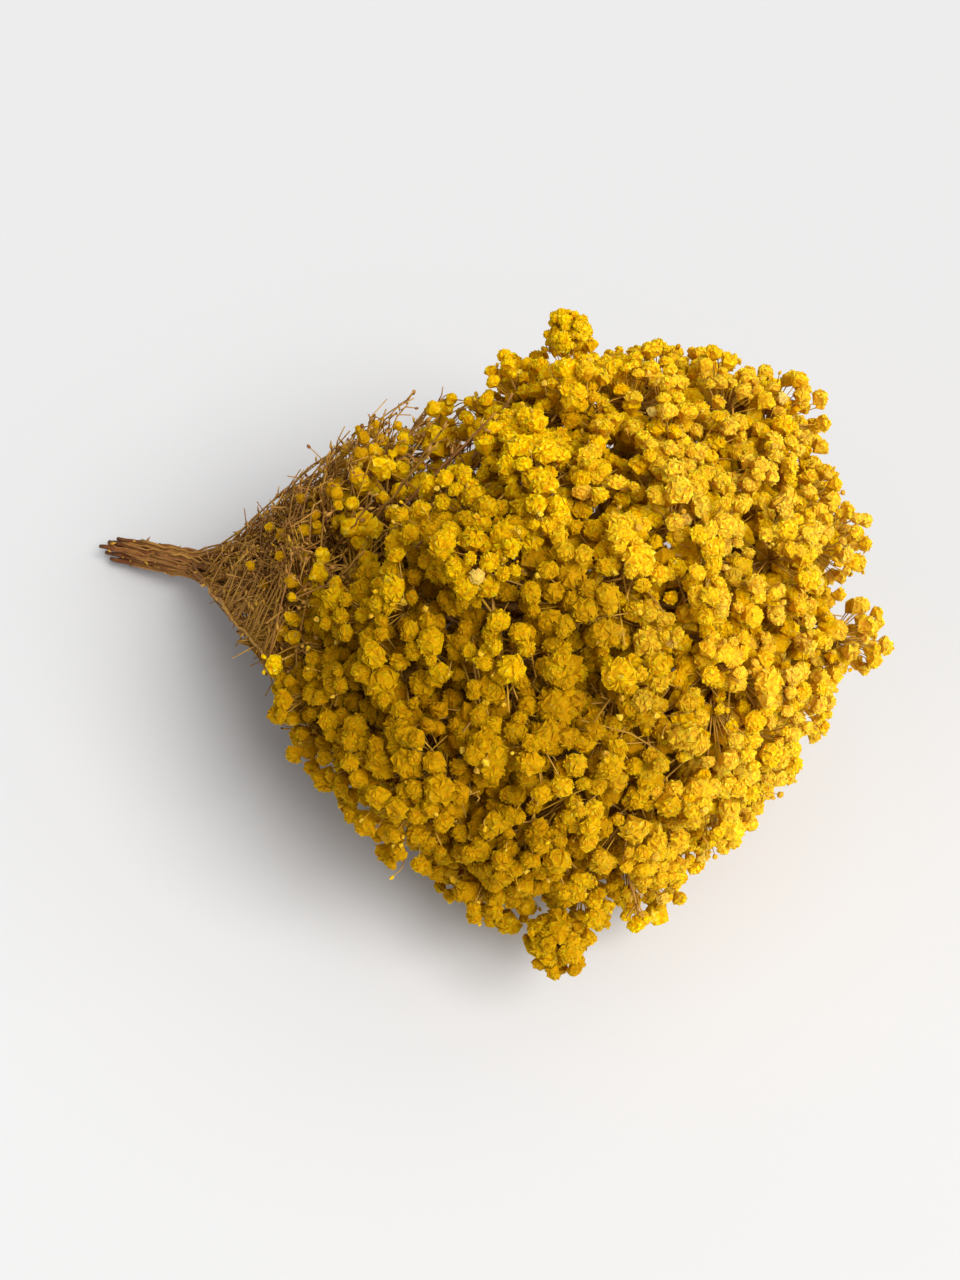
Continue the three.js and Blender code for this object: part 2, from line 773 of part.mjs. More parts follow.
const draw = seededDraws(SEED);
const clumps = evenOut(
  spreadPoints(CLUMPS, CANDIDATES, () => drawCrownPoint(draw, 1)),
  1,
  draw,
);
const heads = placeHeads(draw);
heads.forEach((head) => {
  head.walls = wallsOf(head, heads);
});
for (const head of heads) {
  if (!head.isTuft) head.seatDirection = clearWayIn(head, heads, clumps);
}
const bunch = new THREE.Group();
heads.forEach((head, i) => {
  bunch.add(namedMesh("flowers", i + 1, flowerHead(head, draw, clumps), flowerMaterial()));
});

const shares = shareHeads(heads, draw);
const slots = packBundle(shares.map((share) => meanOf(share.map(approachTo))));
const stems = shares.map((share, i) => stemRoutes(share, slots[i], draw));
spreadPoints(TWIGS, CANDIDATES, () => drawTwigTip(draw)).forEach((tip) => growTwig(tip, stems, draw));
bendClear(
  stems.flatMap((stem) =>
    [stem.trunk, ...stem.branches, ...stem.twigs].map((route) => Object.assign(route, { stem })),
  ),
  heads,
  clumps,
);
stems.forEach((stem, i) => {
  bunch.add(namedMesh("stem", i + 1, stemGeometry(stem), stemMaterial()));
});

bunch.position.set(-MIDDLE_X, -MIDDLE_Y, 0);
export default bunch;
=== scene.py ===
"""A bunch of dried double gypsophila, dyed golden yellow, lying on its side on a pale table.

Thin brown stems run from the cut ends through the neck of the bunch, spread into a tangle of
hair-thin twigs, and carry a broad crown of small frilly blooms that sit together in clumps.
All sizes in the classes are millimetres, and a mesh turns them into metres when it is made.
Every point of a mesh carries four marks from 0 to 1, which the two finishes read: on petals
the petal's height, which paints shade into the folds, warm tone, depth, which is painted shade,
and paleness, partly painted light, and on twigs tone, green, depth and cut end.
"""

import logging
from collections import defaultdict
from dataclasses import dataclass, field
from enum import Enum

import bmesh
import bpy
import numpy as np
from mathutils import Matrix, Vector
from mathutils.bvhtree import BVHTree

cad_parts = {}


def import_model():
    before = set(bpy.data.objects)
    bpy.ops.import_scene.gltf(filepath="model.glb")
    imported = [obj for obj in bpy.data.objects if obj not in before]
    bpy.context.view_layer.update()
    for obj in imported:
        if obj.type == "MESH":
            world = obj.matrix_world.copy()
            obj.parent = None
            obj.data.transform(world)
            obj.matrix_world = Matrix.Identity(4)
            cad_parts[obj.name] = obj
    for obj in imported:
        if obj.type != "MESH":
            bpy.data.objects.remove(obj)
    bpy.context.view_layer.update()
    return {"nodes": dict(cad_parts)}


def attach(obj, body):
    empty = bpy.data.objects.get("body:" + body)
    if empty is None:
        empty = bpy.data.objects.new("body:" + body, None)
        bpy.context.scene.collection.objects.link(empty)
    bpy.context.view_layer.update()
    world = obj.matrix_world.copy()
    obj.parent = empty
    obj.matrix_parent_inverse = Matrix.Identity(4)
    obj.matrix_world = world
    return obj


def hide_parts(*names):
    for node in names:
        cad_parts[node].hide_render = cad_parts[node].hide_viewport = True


log = logging.getLogger("gypsophila")

METRES = 0.001
BODY = "root"
MARKS = "marks"

Array = np.ndarray
Chance = np.random.Generator
Colour = tuple[float, float, float, float]
Place = tuple[float, float, float]
Span = tuple[float, float]
Settings = dict[str, object]
Sockets = dict[str | int, object]


class Slot(Enum):
    """The two material slots of the bunch."""

    FLOWERS = "flowers"
    STEMS = "stems"


class Stuff(Enum):
    """What a small shape in a mesh is made of; the value is its place in the material list."""

    PETAL = 0
    TWIG = 1


def srgb(red: int, green: int, blue: int) -> Colour:
    """Turns a given colour into the linear colour that a shader takes.

    Args:
        red: Red, 0 to 255.
        green: Green, 0 to 255.
        blue: Blue, 0 to 255.

    Returns:
        The linear red, green, blue and an alpha of 1.
    """

    def linear(channel: int) -> float:
        """One channel, from the display's curve to linear light."""
        share = channel / 255
        return share / 12.92 if share <= 0.04045 else ((share + 0.055) / 1.055) ** 2.4

    return (linear(red), linear(green), linear(blue), 1.0)


class Wire:
    """One output of a node, on which plain arithmetic adds Math nodes."""

    def __init__(self, recipe: "Recipe", socket: bpy.types.NodeSocket) -> None:
        """Keeps the socket and the recipe that its new nodes go into."""
        self.recipe = recipe
        self.socket = socket

    def _math(self, operation: str, first: "Wire | float", second: "Wire | float") -> "Wire":
        """Adds one Math node of the operation on the two values."""
        sockets = {0: first, 1: second}
        return self.recipe.wire("ShaderNodeMath", "Value", {"operation": operation}, sockets)

    def __add__(self, other: "Wire | float") -> "Wire":
        """Sum."""
        return self._math("ADD", self, other)

    def __radd__(self, other: float) -> "Wire":
        """Sum with a number on the left."""
        return self._math("ADD", other, self)

    def __sub__(self, other: "Wire | float") -> "Wire":
        """Difference."""
        return self._math("SUBTRACT", self, other)

    def __rsub__(self, other: float) -> "Wire":
        """Difference from a number on the left."""
        return self._math("SUBTRACT", other, self)

    def __mul__(self, other: "Wire | float") -> "Wire":
        """Product."""
        return self._math("MULTIPLY", self, other)

    def __rmul__(self, other: float) -> "Wire":
        """Product with a number on the left."""
        return self._math("MULTIPLY", other, self)

    def clamped(self) -> "Wire":
        """The value kept between 0 and 1."""
        return self.recipe.wire("ShaderNodeClamp", "Result", {}, {"Value": self})


class Recipe:
    """The nodes of one material or world."""

    def __init__(self, tree: bpy.types.NodeTree) -> None:
        """Starts from an empty tree."""
        tree.nodes.clear()
        self.tree = tree

    def node(self, kind: str, settings: Settings, sockets: Sockets) -> bpy.types.Node:
        """Adds any node.

        Args:
            kind: The node's type.
            settings: Its settings, which are set before its sockets.
            sockets: Values, or wires to link, by socket name or number.

        Returns:
            The new node.
        """
        made = self.tree.nodes.new(kind)
        for name, value in settings.items():
            setattr(made, name, value)
        for name, value in sockets.items():
            if isinstance(value, Wire):
                self.tree.links.new(value.socket, made.inputs[name])
            else:
                made.inputs[name].default_value = value
        return made

    def wire(self, kind: str, output: str | int, settings: Settings, sockets: Sockets) -> Wire:
        """Adds any node and takes its named or numbered output."""
        return Wire(self, self.node(kind, settings, sockets).outputs[output])

    def blend(self, share: Wire, first: Wire | Colour, second: Wire | Colour) -> Wire:
        """Mixes two colours: the first where the share is 0, the second where it is 1."""
        settings = {"data_type": "RGBA", "blend_type": "MIX"}
        return self.wire("ShaderNodeMix", 2, settings, {0: share.clamped(), 6: first, 7: second})

    def place(self) -> Wire:
        """The point's place in the object's own frame."""
        return self.wire("ShaderNodeTexCoord", "Object", {}, {})

    def along(self, place: Wire, way: Place) -> Wire:
        """How far a place lies along a way."""
        settings = {"operation": "DOT_PRODUCT"}
        return self.wire("ShaderNodeVectorMath", "Value", settings, {0: place, 1: way})

    def noise(self, place: Wire, per_metre: float, detail: float) -> Wire:
        """Soft noise from 0 to 1, with so many features in a metre and so many finer layers."""
        values = {"Vector": place, "Scale": per_metre, "Detail": detail}
        return self.wire("ShaderNodeTexNoise", "Fac", {}, values)

    def cells(self, place: Wire, per_metre: float) -> Wire:
        """Distance to the nearest point of a random scatter, about 0 to 1."""
        return self.wire("ShaderNodeTexVoronoi", "Distance", {}, {"Vector": place, "Scale": per_metre})

    def bump(self, strength: float, distance: float, height: Wire) -> Wire:
        """A surface that a height lifts by up to the distance."""
        sockets = {"Strength": strength, "Distance": distance, "Height": height}
        return self.wire("ShaderNodeBump", "Normal", {}, sockets)

    def marks(self) -> tuple[Wire, Wire, Wire, Wire]:
        """Reads the four marks that each point of a mesh carries.

        Returns:
            One wire for each mark.
        """
        settings = {"attribute_type": "GEOMETRY", "attribute_name": MARKS}
        paint = self.node("ShaderNodeAttribute", settings, {})
        parts = self.node("ShaderNodeSeparateColor", {}, {"Color": Wire(self, paint.outputs["Color"])})
        red, green, blue = (Wire(self, parts.outputs[name]) for name in ("Red", "Green", "Blue"))
        return red, green, blue, Wire(self, paint.outputs["Alpha"])

    def finish(self, sockets: Sockets) -> None:
        """Adds the shader with its values and links, and the output."""
        surface = self.wire("ShaderNodeBsdfPrincipled", "BSDF", {}, sockets)
        self.node("ShaderNodeOutputMaterial", {}, {"Surface": surface})


def new_material(name: str) -> tuple[bpy.types.Material, Recipe]:
    """Makes an empty material.

    Args:
        name: The material's name.

    Returns:
        The material and the recipe of its nodes.
    """
    material = bpy.data.materials.new(name)
    material.use_nodes = True
    return material, Recipe(material.node_tree)


@dataclass(frozen=True)
class PetalFinish:
    """Dry crumpled petals, dyed golden yellow, with painted shade in the folds, paler tips that are
    partly painted highlight, and painted shade and light on whole blooms.
    """

    # the fold colour and the shaded colour are painted shade; the tip colour is partly the petals'
    # paler tips and partly painted highlight; the faded colour is partly real fading and partly painted
    # light
    fold: Colour = srgb(212, 142, 0)
    face: Colour = srgb(251, 222, 0)
    warm: Colour = srgb(246, 186, 0)
    tip: Colour = srgb(248, 224, 118)
    shaded: Colour = srgb(166, 116, 0)
    faded_and_lit: Colour = srgb(250, 226, 140)
    grain_per_metre: float = 950
    crumple_per_metre: float = 640
    blotch_per_metre: float = 46
    crumple_height: float = 0.0007
    bump_strength: float = 0.6
    roughness: float = 0.68
    grain_roughness: float = 0.3
    shine: float = 0.06
    glow: float = 0.4
    glow_depth: float = 0.0022
    glow_colour: Place = (1.0, 0.58, 0.04)

    def material(self) -> bpy.types.Material:
        """Mixes the petals' material.

        Returns:
            The material, which reads the marks of the blooms' points.
        """
        material, recipe = new_material("dyed_petals")
        height, tone, depth, pale = recipe.marks()
        place = recipe.place()
        grain = recipe.noise(place, self.grain_per_metre, 3.0)
        crumple = recipe.cells(place, self.crumple_per_metre)
        blotch = recipe.noise(place, self.blotch_per_metre, 2.0)

        # painted shade: the low points between the petals take the darker fold colour
        is_open = height * 0.6 + grain * 2.6 - crumple * 0.6 - 0.75
        colour = recipe.blend(is_open, self.fold, self.face)
        colour = recipe.blend(tone * 0.7 + blotch * 0.9 - 0.62, colour, self.warm)
        # paler tips, partly the petals' own colour and partly painted highlight
        colour = recipe.blend((height - 0.7) * 1.6 + (grain - 0.54) * 4.0, colour, self.tip)
        # painted shade: the depth mark darkens whole blooms in crevices, hollows, lower layers and on
        # the side towards the stems
        colour = recipe.blend(depth * (0.75 + grain * 0.4), colour, self.shaded)
        # paleness: a few faded blooms, and painted light on the lit side
        colour = recipe.blend(pale * (0.6 + grain * 0.8), colour, self.faded_and_lit)
        lift = grain * 0.8 - crumple * 0.9
        recipe.finish(
            {
                "Base Color": colour,
                "Roughness": self.roughness + grain * self.grain_roughness,
                "Normal": recipe.bump(self.bump_strength, self.crumple_height, lift),
                "Specular IOR Level": self.shine,
                "Subsurface Weight": self.glow,
                "Subsurface Radius": self.glow_colour,
                "Subsurface Scale": self.glow_depth,
            }
        )
        return material


@dataclass(frozen=True)
class TwigFinish:
    """Dry woody stems and hair-thin twigs, from red-brown through straw to olive."""

    brown: Colour = srgb(166, 110, 68)
    straw: Colour = srgb(220, 170, 84)
    olive: Colour = srgb(200, 154, 26)
    dark: Colour = srgb(116, 68, 38)
    cut: Colour = srgb(128, 92, 60)
    streak_per_metre: float = 420
    blotch_per_metre: float = 55
    streak_height: float = 0.0002
    bump_strength: float = 0.5
    roughness: float = 0.6
    streak_roughness: float = 0.3
    shine: float = 0.12

    def material(self) -> bpy.types.Material:
        """Mixes the stems' material.

        Returns:
            The material, which reads the marks of the twigs' points.
        """
        material, recipe = new_material("dry_stems")
        tone, green, depth, cut = recipe.marks()
        place = recipe.place()
        streak = recipe.noise(place, self.streak_per_metre, 4.0)
        blotch = recipe.noise(place, self.blotch_per_metre, 2.0)

        colour = recipe.blend(tone * 0.9 + (streak - 0.5) * 0.9, self.brown, self.straw)
        colour = recipe.blend(green * (0.6 + blotch * 0.6), colour, self.olive)
        colour = recipe.blend((blotch - 0.52) * 2.4 + (0.42 - streak) * 2.0, colour, self.dark)
        colour = recipe.blend(depth * 0.9, colour, self.dark)
        colour = recipe.blend(cut * (0.7 + streak * 0.5), colour, self.cut)
        recipe.finish(
            {
                "Base Color": colour,
                "Roughness": self.roughness + streak * self.streak_roughness,
                "Normal": recipe.bump(self.bump_strength, self.streak_height, streak),
                "Specular IOR Level": self.shine,
            }
        )
        return material


@dataclass(frozen=True)
class TableFinish:
    """A smooth pale table top with painted shade, a little darker away from the camera."""

    light: Colour = srgb(211, 211, 211)
    shade: Colour = srgb(204, 204, 204)
    across: Place = (-0.438, 0.899, 0.0)
    light_until: float = -0.14
    shade_from: float = 0.06
    cloud_per_metre: float = 3.0
    cloud_share: float = 0.12
    roughness: float = 0.75
    cloud_roughness: float = 0.1
    shine: float = 0.2

    def material(self) -> bpy.types.Material:
        """Mixes the table's material.

        Returns:
            The material.
        """
        material, recipe = new_material("pale_table")
        place = recipe.place()
        cloud = recipe.noise(place, self.cloud_per_metre, 2.0)
        # painted shade: the table darkens away from the camera
        behind = recipe.along(place, self.across) - self.light_until
        share = (behind * (1 / (self.shade_from - self.light_until))).clamped()
        colour = recipe.blend(share + (cloud - 0.5) * self.cloud_share, self.light, self.shade)
        roughness = self.roughness + cloud * self.cloud_roughness
        recipe.finish({"Base Color": colour, "Roughness": roughness, "Specular IOR Level": self.shine})
        return material


def unit(vectors: Array) -> Array:
    """Scales vectors, which lie in the last axis, to length 1."""
    return vectors / np.maximum(np.linalg.norm(vectors, axis=-1, keepdims=True), 1e-9)


def keep_above(lowest: float | Array, *groups: Array) -> None:
    """Lifts what lies lower than a height, in each group of points."""
    for points in groups:
        points[..., 2] = np.maximum(points[..., 2], lowest)


def frames_along(direction: Array, chance: Chance) -> Array:
    """Makes one turned frame for each direction, with a random spin.

    Args:
        direction: Unit vectors, one a row, which become the frames' third axis.
        chance: The random source.

    Returns:
        Matrices whose columns are the three axes.
    """
    helper = unit(chance.normal(size=direction.shape))
    across = unit(np.cross(direction, helper))
    return np.stack([across, np.cross(direction, across), direction], axis=-1)


def on_curve(share: Array, start: Array, knee: Array, end: Array) -> Array:
    """Points at shares of the way along curves that leave start towards knee and end at end."""
    return (1 - share) ** 2 * start + 2 * share * (1 - share) * knee + share**2 * end


def bent_paths(start: Array, knee: Array, end: Array, stations: int) -> Array:
    """Curves, one for each row, each with the same number of evenly spread points."""
    share = np.linspace(0, 1, stations)[None, :, None]
    return on_curve(share, start[:, None], knee[:, None], end[:, None])


def spaced(points: Array, reach: Array, chance: Chance) -> Array:
    """Picks points in random order that keep clear of each other.

    Args:
        points: Candidate points, one a row.
        reach: How far each point keeps its neighbours off.
        chance: The random source.

    Returns:
        The numbers of the chosen points.
    """
    kept: list[int] = []
    cells: dict[tuple[int, int, int], list[int]] = defaultdict(list)
    place = np.floor(points / float(reach.max())).astype(int)
    around = [(x, y, z) for x in (-1, 0, 1) for y in (-1, 0, 1) for z in (-1, 0, 1)]
    for number in chance.permutation(len(points)).tolist():
        x, y, z = place[number].tolist()
        near = [k for dx, dy, dz in around for k in cells.get((x + dx, y + dy, z + dz), ())]
        gap = np.linalg.norm(points[near] - points[number], axis=1)
        if (gap < 0.5 * (reach[near] + reach[number])).any():
            continue
        kept.append(number)
        cells[(x, y, z)].append(number)
    return np.array(kept, int)


def packed_mesh(thing: bpy.types.Object) -> tuple[Array, Array]:
    """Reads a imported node's own mesh.

    Args:
        thing: The node's object.

    Returns:
        Its points in millimetres, each once, and its triangles.
    """
    mesh = thing.data
    mesh.calc_loop_triangles()
    points = np.empty(len(mesh.vertices) * 3)
    mesh.vertices.foreach_get("co", points)
    corners = np.empty(len(mesh.loop_triangles) * 3, np.int32)
    mesh.loop_triangles.foreach_get("vertices", corners)
    points = np.round(points.reshape(-1, 3) / METRES, 2)
    single, place = np.unique(points, axis=0, return_inverse=True)
    faces = place.reshape(-1)[corners.reshape(-1, 3)]
    return single, faces[(faces != np.roll(faces, 1, axis=1)).all(axis=1)]


class Heap:
    """Many small closed shapes that become one mesh."""

    def __init__(self) -> None:
        """Starts empty."""
        self.points: list[Array] = []
        self.faces: list[Array] = []
        self.marks: list[Array] = []
        self.stuffs: list[Array] = []
        self.count = 0

    def add(self, points: Array, faces: Array, marks: Array, stuff: Stuff) -> None:
        """Adds copies of one shape that share their faces' order.

        Args:
            points: Copies, points and coordinates, in millimetres.
            faces: The triangles of one copy.
            marks: Copies, points and the four marks.
            stuff: What the shape is made of.
        """
        copies, size, _ = points.shape
        first = self.count + np.arange(copies)[:, None, None] * size
        self.points.append(points.reshape(-1, 3))
        self.faces.append((faces[None] + first).reshape(-1, 3))
        self.marks.append(marks.reshape(-1, 4))
        self.stuffs.append(np.full(copies * len(faces), stuff.value, np.int32))
        self.count += copies * size

    def add_tubes(self, paths: Array, radii: Array, sides: int, marks: Array) -> None:
        """Adds twigs, each a closed tube along its path.

        Args:
            paths: Twigs, stations and coordinates.
            radii: Each twig's radius at each station.
            sides: How many sides a twig has.
            marks: The four marks, one row for each twig or for each station of each twig.
        """
        count, stations, _ = paths.shape
        along = unit(np.gradient(paths, axis=1))
        overall = unit(paths[:, -1] - paths[:, 0])
        helper = np.where(np.abs(overall[:, 2:3]) < 0.9, [[0.0, 0.0, 1.0]], [[1.0, 0.0, 0.0]])
        across = unit(np.cross(along, np.cross(overall, helper)[:, None]))
        upright = np.cross(along, across)
        angle = np.linspace(0, 2 * np.pi, sides, endpoint=False)[None, None, :, None]
        ring = np.cos(angle) * across[:, :, None] + np.sin(angle) * upright[:, :, None]
        points = paths[:, :, None] + ring * radii[:, :, None, None]
        faces: list[tuple[int, int, int]] = []
        for low in range(0, (stations - 1) * sides, sides):
            for side in range(sides):
                here, other = low + side, low + (side + 1) % sides
                faces.append((here, other, other + sides))
                faces.append((here, other + sides, here + sides))
        last = (stations - 1) * sides
        for side in range(1, sides - 1):
            faces.append((0, side + 1, side))
            faces.append((last, last + side, last + side + 1))
        if marks.ndim == 2:
            marks = marks[:, None]
        marks = np.broadcast_to(marks[:, :, None], (count, stations, sides, 4))
        flat = points.reshape(count, stations * sides, 3)
        self.add(flat, np.array(faces), marks.reshape(count, stations * sides, 4), Stuff.TWIG)

    def triangles(self) -> int:
        """How many triangles the heap holds."""
        return sum(len(faces) for faces in self.faces)

    def piece(self, name: str, materials: list[bpy.types.Material], floor: float) -> bpy.types.Object:
        """Makes the object.

        Args:
            name: The piece's name.
            materials: Petals and twigs.
            floor: Nothing lies lower than this, in millimetres.

        Returns:
            The new object, with its place in its mesh.
        """
        points, faces = np.concatenate(self.points), np.concatenate(self.faces)
        marks, stuffs = np.concatenate(self.marks), np.concatenate(self.stuffs)
        keep_above(floor, points)
        mesh = bpy.data.meshes.new(name)
        mesh.vertices.add(len(points))
        mesh.vertices.foreach_set("co", (points * METRES).astype(np.float32).reshape(-1))
        mesh.loops.add(faces.size)
        mesh.loops.foreach_set("vertex_index", faces.astype(np.int32).reshape(-1))
        mesh.polygons.add(len(faces))
        mesh.polygons.foreach_set("loop_start", np.arange(0, faces.size, 3, dtype=np.int32))
        mesh.polygons.foreach_set("material_index", stuffs)
        mesh.polygons.foreach_set("use_smooth", stuffs == Stuff.TWIG.value)
        paint = mesh.attributes.new(MARKS, "FLOAT_COLOR", "POINT")
        paint.data.foreach_set("color", marks.astype(np.float32).reshape(-1))
        for material in materials:
            mesh.materials.append(material)
        mesh.update(calc_edges=True)
        thing = bpy.data.objects.new(name, mesh)
        bpy.context.scene.collection.objects.link(thing)
        return thing


def ball(rounds: int) -> tuple[Array, Array]:
    """A ball of even triangles.

    Args:
        rounds: 1 for 20 triangles, 2 for 80.

    Returns:
        Its points, at distance 1 from the middle, and its triangles, facing out.
    """
    shape = bmesh.new()
    bmesh.ops.create_icosphere(shape, subdivisions=rounds, radius=1.0)
    shape.verts.ensure_lookup_table()
    points = np.array([vertex.co[:] for vertex in shape.verts])
    faces = np.array([[vertex.index for vertex in face.verts] for face in shape.faces])
    shape.free()
    return unit(points), faces


@dataclass
class Spots:
    """Where blooms sit: centres, the way each faces, radii, and tone, depth and paleness."""

    middles: Array
    ways: Array
    sizes: Array
    looks: Array

    def only(self, chosen: Array) -> "Spots":
        """The chosen spots alone."""
        return Spots(self.middles[chosen], self.ways[chosen], self.sizes[chosen], self.looks[chosen])


@dataclass
class Blossom:
    """A small round shape in several variants, with the petals' height at each of its points."""

    points: Array = field(init=False)
    faces: Array = field(init=False)
    heights: Array = field(init=False)

    def scatter(self, heap: Heap, spots: Spots, chance: Chance, stuff: Stuff = Stuff.PETAL) -> None:
        """Puts a variant, turned at random about its way, at each spot.

        Args:
            heap: Where they go.
            spots: Where they sit.
            chance: The random source.
            stuff: What they are made of.
        """
        if len(spots.middles) == 0:
            return
        pick = chance.integers(0, len(self.points), len(spots.middles))
        turn = frames_along(unit(spots.ways), chance)
        shapes = np.einsum("kij,knj->kni", turn, self.points[pick] * spots.sizes[:, None, None])
        heights = self.heights[pick][..., None]
        looks = np.broadcast_to(spots.looks[:, None], (*heights.shape[:2], 3))
        marks = np.concatenate([heights, looks], axis=-1)
        heap.add(shapes + spots.middles[:, None], self.faces, marks, stuff)


@dataclass
class Bloom(Blossom):
    """One double bloom: a dome of folded petals on a narrow foot."""

    # how many facets and variants it has
    rounds: int = 2
    variants: int = 28
    # how far out the folds and the petals' tips reach
    core: float = 0.8
    rise: float = 0.22
    lean: float = 0.16
    # how much they differ
    unevenness: float = 0.08
    squash: float = 0.6
    drift: float = 0.17
    scattered: float = 0.13
    # no petals below this height, where it narrows to its foot
    bare_below: float = -0.12
    foot: float = 0.85
    # the marks that tell the finish folds, which it paints with shade, from tips, which it paints paler
    fold_height: Span = (0.0, 0.25)
    tip_height: Span = (0.7, 1.0)

    def grow(self, chance: Chance) -> "Bloom":
        """Makes the variants.

        Args:
            chance: The random source.

        Returns:
            The bloom itself, with its shapes made.
        """
        base, faces = ball(self.rounds)
        petals = unit(base[faces].mean(axis=1))
        petalled = petals[:, 2] > self.bare_below
        used, places = np.unique(faces[petalled], return_inverse=True)
        base, faces, petals = base[used], places.reshape(-1, 3), petals[petalled]
        count = len(petals)
        tips = len(base) + np.arange(count)
        a, b, c = faces.T
        thirds = ((a, b, tips), (b, c, tips), (c, a, tips))
        sides = np.concatenate([np.stack(third, axis=1) for third in thirds])
        edges = {(int(one), int(two)) for face in faces for one, two in zip(face, np.roll(face, -1))}
        rim = sorted(edge for edge in edges if edge[::-1] not in edges)
        end = len(base) + count
        self.faces = np.concatenate([sides, [(two, one, end) for one, two in rim]])
        shapes, heights = [], []
        for _ in range(self.variants):
            squash = 1 + chance.normal(0, self.unevenness, 3) * self.squash
            folds = unit(base + chance.normal(0, self.drift, base.shape))
            folds *= self.core * (1 + chance.normal(0, self.unevenness, (len(base), 1)))
            ways = unit(petals + chance.normal(0, self.scattered, petals.shape))
            lean = np.cross(ways, unit(chance.normal(size=(count, 3)))) * self.lean
            grown = self.core + self.rise * chance.uniform(0.0, 1.0, (count, 1))
            points = np.concatenate([folds, ways * grown + lean, [[0.0, 0.0, -self.foot]]])
            shapes.append(points * squash)
            low = chance.uniform(*self.fold_height, len(base))
            heights.append(np.concatenate([low, chance.uniform(*self.tip_height, count), [0.0]]))
        self.points, self.heights = np.array(shapes), np.array(heights)
        return self


@dataclass
class Bud(Blossom):
    """A shut bud or a dry husk: a small crumpled ball."""

    rounds: int = 1
    variants: int = 20
    unevenness: float = 0.2
    stretch: float = 1.0
    core: float = 0.9
    mid_height: float = 0.45
    height_spread: float = 0.3

    def grow(self, chance: Chance) -> "Bud":
        """Makes the variants.

        Args:
            chance: The random source.

        Returns:
            The bud itself, with its shapes made.
        """
        base, self.faces = ball(self.rounds)
        bulge = chance.normal(0, self.unevenness, (self.variants, len(base), 1))
        self.points = base[None] * (self.core + bulge) * np.array([1, 1, self.stretch])
        # the petal height mark: the finish paints shade into the dents and paler tips onto the bulges
        height = self.mid_height + bulge[..., 0] / self.unevenness * self.height_spread
        self.heights = np.clip(height, 0, 1)
        return self


class Kinds:
    """The shapes that the bunch repeats, from the full bloom to the shut bud."""

    def __init__(self, chance: Chance) -> None:
        """Grows one of each.

        Args:
            chance: The random source.
        """
        self.full = Bloom().grow(chance)
        self.small = Bud(rounds=2, unevenness=0.13).grow(chance)
        self.husk = Bud().grow(chance)
        self.bud = Bud(unevenness=0.08, stretch=1.5).grow(chance)


@dataclass
class Bract:
    """A tiny dry leaf: a thin pointed blade with a raised middle."""

    width: float = 0.34
    thickness: float = 0.12
    curl: float = 0.3
    widest: float = 0.45

    def scatter(
        self, heap: Heap, feet: Array, direction: Array, length: Array, marks: Array, chance: Chance
    ) -> None:
        """Puts leaves into a heap.

        Args:
            heap: Where they go.
            feet: The points they grow from.
            direction: The way each one points.
            length: Their lengths.
            marks: The four marks of each.
            chance: The random source.
        """
        if len(feet) == 0:
            return
        half, low = self.width / 2, self.curl * 0.3
        rim = [(half, low), (0, low + self.thickness), (-half, low), (0, low - self.thickness)]
        points = np.array([(0, 0, 0), *((x, y, self.widest) for x, y in rim), (0, self.curl, 1.0)])
        faces = [(0, 2, 1), (0, 3, 2), (0, 4, 3), (0, 1, 4), (5, 1, 2), (5, 2, 3), (5, 3, 4), (5, 4, 1)]
        turn = frames_along(unit(direction), chance)
        shapes = np.einsum("kij,nj->kni", turn, points) * length[:, None, None] + feet[:, None]
        marks = np.broadcast_to(marks[:, None], (len(feet), len(points), 4))
        heap.add(shapes, np.array(faces), marks, Stuff.TWIG)


@dataclass
class Branch:
    """One unforked run of a stem, from where it leaves its parent to its tip."""

    points: Array
    radii: Array
    is_main: bool

    def resampled(self, step: float) -> tuple[Array, Array]:
        """Smooths the run.

        Args:
            step: The distance between the new stations.

        Returns:
            The new points and radii.
        """
        points, radii = self.points, self.radii
        fine, wide = [], []
        ends = np.concatenate([2 * points[:1] - points[1:2], points, 2 * points[-1:] - points[-2:-1]])
        for k in range(len(points) - 1):
            p0, p1, p2, p3 = ends[k : k + 4]
            pieces = max(1, int(np.ceil(np.linalg.norm(p2 - p1) / step)))
            for t in np.arange(pieces) / pieces:
                square = (2 * p0 - 5 * p1 + 4 * p2 - p3) * t**2
                cube = (3 * p1 - p0 - 3 * p2 + p3) * t**3
                fine.append(0.5 * (2 * p1 + (p2 - p0) * t + square + cube))
                wide.append(radii[k] + (radii[k + 1] - radii[k]) * t)
        return np.array([*fine, points[-1]]), np.array([*wide, radii[-1]])


